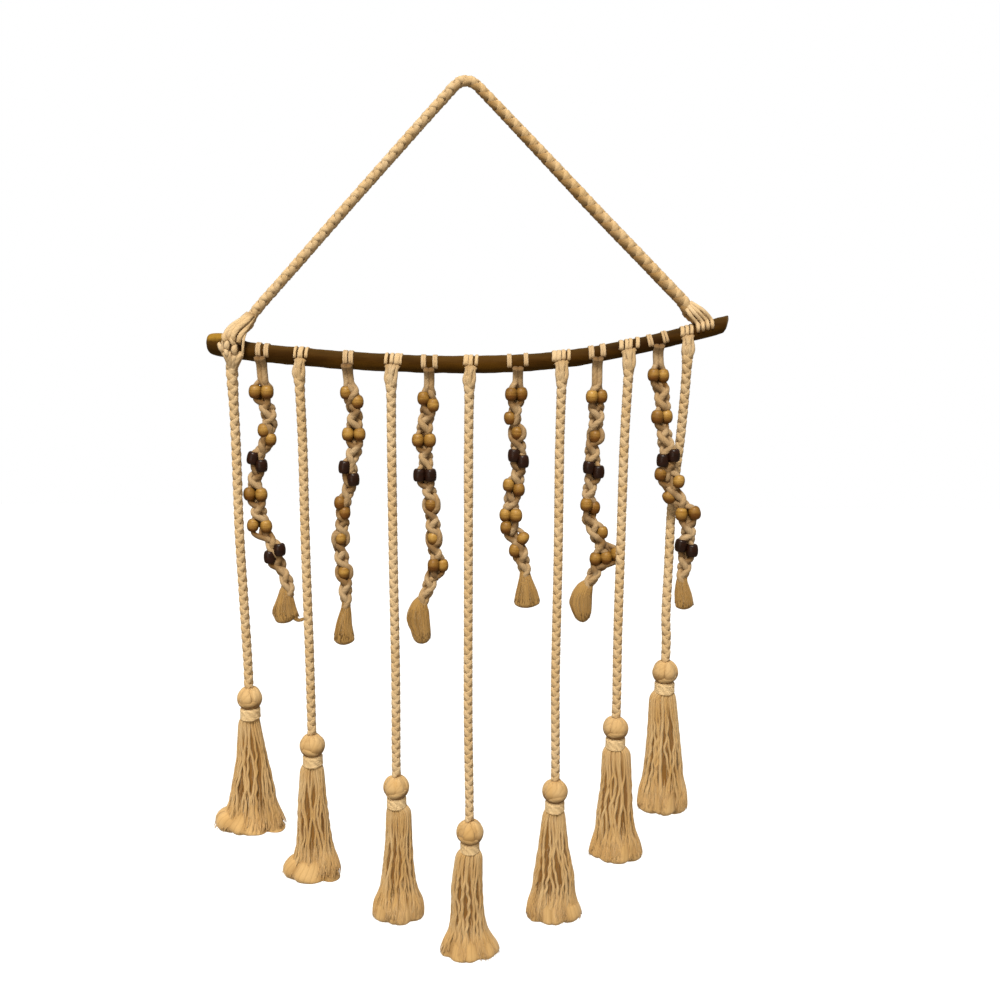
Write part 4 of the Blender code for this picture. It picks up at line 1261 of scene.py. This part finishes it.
def pleated(line, half, deep, groove, dark, rng, pleats=9, sides=64, rise=0.0025, creases=()):
    """A soft bell of combed yarn round a line; groove and dark are how deep its pleats and its painted shade
    are.
    """
    shell = strand(line, (0, -1, 0), half, deep, sides=sides)
    angles = 2 * np.pi * np.arange(sides) / sides
    pleat = np.zeros(sides)
    for place in 2 * math.pi * (np.arange(pleats) + rng.uniform(-0.35, 0.35, pleats)) / pleats:
        pleat += rng.uniform(0.4, 1.0) * ridge(angles, place, 0.085)
    broad = crease_at(creases, angles)
    rings = shell["verts"].reshape(len(line), sides, 3)
    middle = line[:, None]
    rings = middle + (rings - middle) * (1 - groove[:, None] * (0.5 * pleat + broad))[..., None]
    rings[..., 2] += np.linspace(-9, 1, len(line)).clip(0, 1)[:, None] * (rise * pleat + 0.0028 * broad)
    shell["verts"] = rings.reshape(-1, 3)
    shell["uv"] = shell["uv"] * np.array([30.0, 1.0])
    # painted shade in its pleats and its broad creases
    shell["depth"] = np.clip(dark[:, None] + groove[:, None] * (5 * pleat + 3 * broad), 0, 0.9).ravel()
    shell["tint"] = np.full(len(line) * sides, 0.3)
    return shell


def closed(count, rows=5):
    """Ones, and then a quick round close at the end of a bell."""
    return np.concatenate([np.ones(count - rows), np.sqrt(1 - np.linspace(0.2, 0.999, rows) ** 2)])


def brush(number):
    """The combed end of one sinnet."""
    rng = np.random.default_rng(800 + number)
    z, x, y, half, _ = sinnet_shape(number)
    start_z = brush_tops[number]
    if number in BRUSH_OUTLINES:
        bz, bx, bh = in_mm(BRUSH_OUTLINES[number]).T
        by = np.interp(-bz, -z, y)
    else:
        chosen = z <= start_z + 1e-6
        bz, bx, by, bh = (a[chosen] for a in (z, x, y, half))
        # the neck above the first ring, from which it widens as a cone
        neck_x = float(np.interp(-(start_z + 0.010), -z, x))
        bz, bx = np.concatenate([[start_z + 0.010], bz]), np.concatenate([[neck_x], bx])
        by, bh = np.concatenate([[by[0]], by]), np.concatenate([[0.0046], bh])
        bh[1] = min(bh[1], 0.0062)
    count = 34
    level = np.linspace(bz[0], bz[-1] + 0.002, count)
    line = xyz(soften(np.interp(-level, -bz, bx), 3), soften(np.interp(-level, -bz, by), 3), level)
    wide = soften(np.interp(-level, -bz, bh), 3) * np.linspace(1.0, 1.10, count)
    through = np.clip(wide * 0.75, 0.0036, 0.0085)
    t = np.linspace(0, 1, count)
    groove = 0.10 * held(t * 3 - 0.4)
    dark = 0.05 + 0.35 * held(t * 14 - 13)
    close = closed(count)
    strands = [pleated(line, wide * close * 0.97, through * close * 0.97, groove, dark, rng,
                       pleats=8, rise=0.0020)]
    for _ in range(110):
        angle = rng.uniform(0, 2 * math.pi)
        share = rng.uniform(0.93, 0.99)
        first = int(rng.integers(0, 12))
        last = count - 4 - int(rng.integers(0, 4))
        wavy = rng.uniform(0.0001, 0.0005) * np.sin(np.linspace(0, rng.uniform(3, 8), count)
                                                    + rng.uniform(0, 6))
        yarn = line + xyz((wide * share) * np.cos(angle) + wavy,
                          (through * share) * np.sin(angle) + wavy * 0.5, 0)
        thick = rng.uniform(0.00028, 0.00050)
        strands.append(strand(yarn[first:last:2], (math.cos(angle), math.sin(angle), 0.01), thick, thick,
                              sides=4, tint=rng.uniform(0.0, 1.0), depth=rng.uniform(0.0, 0.25)))
    return strands


curl = smooth_line([(-0.2150, 0.0090, -0.6000), (-0.2090, 0.0070, -0.6085), (-0.2030, 0.0070, -0.6120),
                    (-0.1975, 0.0080, -0.6100)], 0.0012)
for number in range(1, 7):
    strands = brush(number)
    if number == 1:
        rng = np.random.default_rng(830)
        for _ in range(34):
            shift = rng.normal(0, 0.0012, 3)
            taper = 0.00062 * np.linspace(1, 0.45, len(curl))
            pull = np.linspace(1.6, 0.5, len(curl))[:, None]
            strands.append(strand(curl + shift * pull, (0, -1, 0.2), taper, taper, sides=4,
                                  tint=rng.uniform(0.0, 1.0), depth=rng.uniform(0, 0.2)))
    combed = piece_of(f"combed_end_{number}", strands, brush_cotton)
print("brushes done, triangles in the last:", triangles(combed))

# %% [markdown]
# ## Tassels
#
# A tassel is a bundle of yarn folded over the cord's end.  The fold makes a ball
# head of a few thick bundles, a cord is wound round the neck, and the cut yarn
# below hangs as a skirt.  In the photograph the skirt shows fine, nearly plumb
# plies with short dark gaps between them, and in the lowest quarter they fluff out
# into a soft flare with a few broad pleats.  So an inner bell gives the flare and
# the painted shade behind the plies, the plies hang over it, and fine loose fibres
# cover the flare.  Its outline is the plain solid's, but for a flare that hangs a few
# millimetres lower and wider, as the photograph shows it.


# %% Shape of a tassel
FLARES = {
    # tassel: how much longer and wider its flare is than the plain solid's, and how far aside, in mm
    1: (6.5, 5.0, 0.0), 2: (7.7, 4.2, -2.8), 3: (8.5, 1.2, -0.5), 4: (3.0, 2.2, 0.5), 5: (5.3, 2.2, 0.5),
    6: (4.1, 1.7, 0.0), 7: (7.7, 0.4, 0.4),
}
# how far below the middle of its head each part of a tassel starts or ends
SKIRT_TOP = 0.0232
SKIRT_RING = 0.0292           # where the plain skirt's first ring is put
BINDING_END = 0.0252
NECK_END = 0.029

SKIRT_TOP_HALF = 0.0102       # half the skirt's width at its top


def tassel_shape(number):
    """Head middle and radius, and the skirt's heights, middles and half sizes."""
    rings = rings_of(f"tassel_{number}", corners=TEN_SIDES)
    head_ring = rings[2]
    head_middle = np.array(head_ring[0])
    # the skirt starts right under the binding, whose lower edge the photograph shows
    x, z, half, deep = np.array([(r[0][0], r[0][2], r[1][0], r[1][1]) for r in rings[6:]]).T
    z[0] = head_middle[2] - SKIRT_RING
    top = (head_middle[0], head_middle[2] - SKIRT_TOP, SKIRT_TOP_HALF, SKIRT_TOP_HALF)
    # the flare opens late: half way down to it the skirt is still narrow
    late = np.array([x[2:4], z[2:4], half[2:4], deep[2:4]])
    waist = late[:, 0] + (late[:, 1] - late[:, 0]) * np.array([0.5, 0.58, 0.30, 0.30])
    x, z, half, deep = (np.concatenate([[t], v[:3], [w], v[3:]])
                        for t, v, w in zip(top, (x, z, half, deep), waist))
    longer, wider, aside = np.array(FLARES[number]) / 1000
    share = (z[0] - z) / (z[0] - z[-1])
    low = held((share - 0.62) / 0.30) ** 1.4
    z = z - longer * held(share * 2 - 1)
    x, half, deep = x + aside * low, half + wider * low, deep + 0.4 * wider * low
    return head_middle, float(head_ring[1][1]), (z, x, half, deep)


def skirt_at(shape, level):
    """Middle and half sizes of the skirt at these heights, smoothed between its rings."""
    z, x, half, deep = shape
    fine = np.linspace(z[0], z[-1], 60)
    return [np.interp(-level, -fine, soften(np.interp(-fine, -z, values), 4)) for values in (x, half, deep)]


def bell_of_skirt(middle, shape, creases, rng):
    """What lies behind the plies: painted dark with shade above, and soft, light and pleated in the flare."""
    z = shape[0]
    count = 60
    t = np.linspace(0, 1, count)
    level = z[0] + (z[-1] + 0.0005 - z[0]) * t
    mid_x, half, deep = skirt_at(shape, level)
    flare = eased((t - 0.70) / 0.15)
    swell = (0.83 + 0.135 * flare) * closed(count, 4)
    line = xyz(mid_x, middle[1], level)
    dark = 0.95 * (1 - flare) * np.clip(t / 0.16, 0.25, 1)
    return pleated(line, half * swell, deep * swell, 0.10 * flare, dark, rng, pleats=5, sides=96, rise=0.0016,
                   creases=creases)


def plies_of_skirt(middle, shape, creases, rng):
    """Fine crimped plies from the neck into the flare, in an outer layer and one under it."""
    z = shape[0]
    top, bottom = z[0] + 0.002, z[-1]
    length = top - bottom
    steps = 60
    t = np.linspace(0, 1, steps)
    undone = eased((t - 0.72) / 0.20)
    # they lie close together under the neck, and part in the middle
    parted = np.clip((t - 0.05) / 0.20, 0.15, 1)
    strands = []
    # the layer under the outer one is painted dark with shade
    for layer_share, count, dark in ((1.0, 29, 0.0), (0.90, 18, 0.82)):
        for i in range(count):
            angle = 2 * math.pi * (i + rng.uniform(-0.45, 0.45)) / count
            end = bottom + length * rng.uniform(0.050, 0.120)
            level = top + (end - top) * t
            mid_x, half, deep = skirt_at(shape, level)
            # the crimp that the ply kept from the braid it was in
            wave = 2 * math.pi * level / rng.uniform(0.015, 0.027) + rng.uniform(0, 6)
            crimp = held(t * 4 - 0.6) * (1 - 0.6 * undone)
            drift = 0.0021 * np.sin(t * rng.uniform(5, 14) + rng.uniform(0, 6)) * held(t * 3)
            aside = rng.uniform(0.00015, 0.00070) * np.sin(wave) * crimp + drift
            lift = rng.uniform(0.0001, 0.0005) * np.cos(wave) * crimp
            thick = rng.uniform(0.00125, 0.00205) * (1.10 - 0.14 * parted + 0.25 * t)
            # the end lies down on the bell
            sink = 1 - 0.10 * held(t * 10 - 9)
            across = np.maximum(half - 0.8 * thick, 0.001) * layer_share * sink
            through = np.maximum(deep - 0.8 * thick, 0.001) * layer_share * sink
            angles = angle + aside / np.maximum(0.5 * (across + through), 0.004)
            inwards = 1 - 0.11 * undone * crease_at(creases, angles)
            line = xyz(mid_x + (across * inwards + lift) * np.cos(angles),
                       middle[1] + (through * inwards + lift) * np.sin(angles), level)
            outward = xyz(np.cos(angles), np.sin(angles), 0.02)
            strands.append(strand(line, outward, thick * (1 + 0.8 * undone), thick * (1 - 0.5 * undone),
                                  sides=6, tint=rng.uniform(0.1, 0.9), depth=dark * parted * (1 - undone),
                                  side_shade=(0.50 if layer_share == 1.0 else 0.0) * parted))
    return strands


FLARE_FIBRES = 250


def fibres_of_flare(middle, shape, creases, rng):
    """Fine loose fibres over the flare, where the plies have come undone."""
    top, bottom = shape[0][0], shape[0][-1]
    length = top - bottom
    steps = 9
    strands = []
    for _ in range(FLARE_FIBRES):
        angle = rng.uniform(0, 2 * math.pi)
        start = rng.uniform(0.58, 0.84)
        end = rng.uniform(0.88, 0.955)
        t = np.linspace(start, end, steps)
        level = top - length * t
        mid_x, half, deep = skirt_at(shape, level)
        outer = rng.uniform(0.962, 0.990)
        angles = (angle + rng.normal(0, 0.06) * np.linspace(0, 1, steps)
                  + 0.015 * np.sin(t * 40 + rng.uniform(0, 6)))
        outer = outer * (1 - 0.11 * held((t - 0.70) / 0.15) * crease_at(creases, angles))
        line = xyz(mid_x + half * outer * np.cos(angles), middle[1] + deep * outer * np.sin(angles), level)
        outward = xyz(np.cos(angles), np.sin(angles), 0.02)
        taper = np.interp(np.linspace(0, 1, steps), [0, 0.2, 0.8, 1], [0.4, 1, 1, 0.4])
        thick = rng.uniform(0.00025, 0.00050) * taper
        strands.append(strand(line, outward, thick, thick, sides=4, tint=rng.uniform(0.0, 0.7), depth=0.0))
    return strands


def lobes_of_head(middle, radius, browner_and_shaded, rng):
    """The folded yarn: broad soft bundles over a ball, a slanting one, and the yarn of the neck."""
    radius = radius * 1.05
    strands = []
    for i in range(7):
        start = 2 * math.pi * (i + rng.uniform(-0.3, 0.3)) / 7
        polar = np.radians(np.linspace(5, 168, 22))
        swirl = start + rng.uniform(-0.5, 0.7) * np.sin(polar * 0.9)
        out = radius * (0.80 + rng.uniform(-0.02, 0.03))
        ball = xyz(np.sin(polar) * np.cos(swirl), np.sin(polar) * np.sin(swirl), np.cos(polar))
        narrow = np.maximum(np.sin(polar), 0.28)
        wide = radius * 0.45 * narrow * rng.uniform(0.9, 1.15)
        # painted shade on the lower side of each bundle, and more on the last three heads
        low = 0.82 * held(-np.cos(polar) * 1.4 + 0.28)
        strands.append(strand(middle + ball * out, ball, wide, np.minimum(wide, radius * 0.20), sides=14,
                              tint=rng.uniform(0.2, 0.7), depth=low + browner_and_shaded, side_shade=0.60))
    # the ball inside, which closes the dips, with painted shade on its lower half
    polar = np.radians(np.linspace(3, 177, 24))
    core = middle + xyz(0, 0, np.cos(polar) * radius * 0.93)
    ball_radius = radius * 0.93 * np.sin(polar)
    strands.append(strand(core, (0, -1, 0), ball_radius, ball_radius, sides=24,
                          tint=0.4, depth=0.15 + 0.6 * held(-np.cos(polar) * 1.4 + 0.28)))
    # one more bundle crosses the front, under the middle
    tilt = rng.uniform(-0.35, 0.35)
    sweep = np.linspace(-2.9, -0.3, 24) + rng.uniform(-0.25, 0.25)
    band = unit(xyz(np.cos(sweep), np.sin(sweep), tilt * np.cos(sweep) + rng.uniform(-0.50, -0.25)))
    thick = radius * 0.24 * np.sin(np.linspace(0.1, math.pi - 0.1, 24)) ** 0.5
    # painted shade on the band, more on the last three heads
    strands.append(strand(middle + band * radius * 0.85, band, thick * 1.2, thick * 0.8, sides=12,
                          tint=rng.uniform(0.2, 0.6), side_shade=0.8, depth=0.12 + browner_and_shaded))
    # the neck under the head, painted with shade
    level = np.linspace(middle[2] - 0.60 * radius, middle[2] - NECK_END, 8)
    neck = xyz(middle[0], middle[1], level)
    strands.append(strand(neck, (0, -1, 0), 0.0098, 0.0098, sides=20, tint=0.6, depth=0.25))
    return strands


print("tassel 4, mm: head radius", round(tassel_shape(4)[1] * 1000, 1))

# %% Make the seven tassels
for number in range(1, 8):
    rng = np.random.default_rng(900 + number)
    middle, radius, shape = tassel_shape(number)
    # broad creases part the flare into a few soft lobes; the first two are on its front
    crease_degrees = (242, 303, 60, 125) if number % 2 else (285, 228, 40, 120)
    creases = [math.radians(a) + rng.uniform(-0.2, 0.2) for a in crease_degrees]
    # the last three heads get more painted shade
    parts = lobes_of_head(middle, radius, 0.07 if number > 4 else 0.0, rng)
    parts += plies_of_skirt(middle, shape, creases, rng)
    tassel = piece_of(f"tassel_yarn_{number}", parts, tassel_cotton, [f"tassel_{number}"])
    loose = [bell_of_skirt(middle, shape, creases, rng)] + fibres_of_flare(middle, shape, creases, rng)
    flare = piece_of(f"tassel_flare_{number}", loose, combed_cotton)
    print(f"tassel {number}: {triangles(tassel)} + {triangles(flare)} triangles")

# %% [markdown]
# ## Neck bindings
#
# A fine thread is wound round each neck, turn on turn, from right under the head
# down to a last turn that lies a little darker.  It is one helix, with both ends
# tucked in.

# %% Bindings
def binding(number):
    """The thread wound round one tassel's neck."""
    low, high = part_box(f"binding_{number}")
    middle, radius, _ = tassel_shape(number)
    rng = np.random.default_rng(950 + number)
    turns, steps_per_turn = 11, 28
    top = middle[2] - 0.78 * radius
    pitch = (top - (middle[2] - BINDING_END)) / turns
    steps = turns * steps_per_turn
    t = np.linspace(0, turns * 2 * math.pi, steps)
    # it closes in under the head, and the last turn stands out a little
    share = t / t[-1]
    waist = 1 - 0.20 * held(1 - share * 4.5) ** 1.5 - 0.03 * np.sin(math.pi * share)
    reach = ((high.y - low.y) / 2 - 0.0009) * waist
    reach[-6:] -= np.linspace(0, 0.0025, 6)
    level = top - pitch * t / (2 * math.pi)
    outward = xyz(np.cos(t), np.sin(t), 0)
    line = xyz(middle[0] + reach * np.cos(t), middle[1] + reach * np.sin(t), level)
    line[:, 2] += soften(rng.normal(0, 0.00020, steps), 8)
    depth = 0.15 * held((t - t[-1] + 1.1 * 2 * math.pi) / 0.8)
    return [strand(line, outward, 0.00088, 0.0009, sides=6, tint=rng.uniform(0.0, 0.15), depth=depth)]


for number in range(1, 8):
    wound = piece_of(f"neck_binding_{number}", binding(number), painted_light_neck_cotton,
                     [f"binding_{number}"])
print("bindings done, triangles in the last:", triangles(wound))

# %% [markdown]
# ## Light, air and floor
#
# The photograph has a white ground, one broad light from above the left shoulder
# and brown, open shadows.  The world is white to the camera and dimmer for
# lighting, and a pale floor lies far below the piece, so that hardly any shadow
# shows.

# %% Stage
scene = bpy.context.scene
scene.view_settings.view_transform = "Standard"
scene.view_settings.look = "None"

world = bpy.data.worlds.new("studio")
scene.world = world
world.use_nodes = True
tree = world.node_tree
tree.nodes.clear()
seen = add(tree, "Background", {"Color": (1, 1, 1, 1), "Strength": 1.0})
# more of the soft light comes from above than from below
height = add(tree, "SeparateXYZ", {0: add(tree, "TexCoord").outputs["Generated"]}).outputs["Z"]
warm_below = colour_mix(stretch(height, -0.5, 0.6), (1.0, 0.72, 0.36), (1.0, 0.95, 0.87))
felt = add(tree, "Background", {"Color": warm_below, "Strength": stretch(height, -0.5, 0.9, 0.13, 0.62)})
either = add(tree, "MixShader", {0: add(tree, "LightPath").outputs["Is Camera Ray"],
                                 1: felt.outputs[0], 2: seen.outputs[0]})
add(tree, "OutputWorld", {0: either.outputs[0]})

let_go()
bpy.ops.mesh.primitive_plane_add(size=12, location=(0, 0, -1.6))
floor = bpy.context.object
floor.name = "pale_floor"
# its white glow is for the camera, so that it doesn't light the piece from below
pale, tree, shader = new_material("pale floor")
feed(shader, {"Base Color": (0.25, 0.24, 0.22, 1), "Roughness": 0.9, "Emission Color": (1, 1, 1, 1),
              "Emission Strength": add(tree, "LightPath").outputs["Is Camera Ray"]})
floor.data.materials.append(pale)


def soft_box(name, place, aim, size, watts, colour):
    """A square area light that faces a point."""
    data = bpy.data.lights.new(name, "AREA")
    data.shape = "SQUARE"
    data.size = size
    data.energy = watts
    data.color = colour
    light = new_object(name, data)
    light.location = place
    light.rotation_mode = "QUATERNION"
    light.rotation_quaternion = (Vector(aim) - Vector(place)).to_track_quat("-Z", "Y")


soft_box("key", (-0.5, -3.1, 3.8), (0.0, 0.0, -0.6), 1.7, 300.0, (1.0, 0.95, 0.85))
soft_box("fill", (-1.6, -3.0, -0.2), (0.0, 0.0, -0.6), 1.8, 16.0, (1.0, 0.93, 0.80))
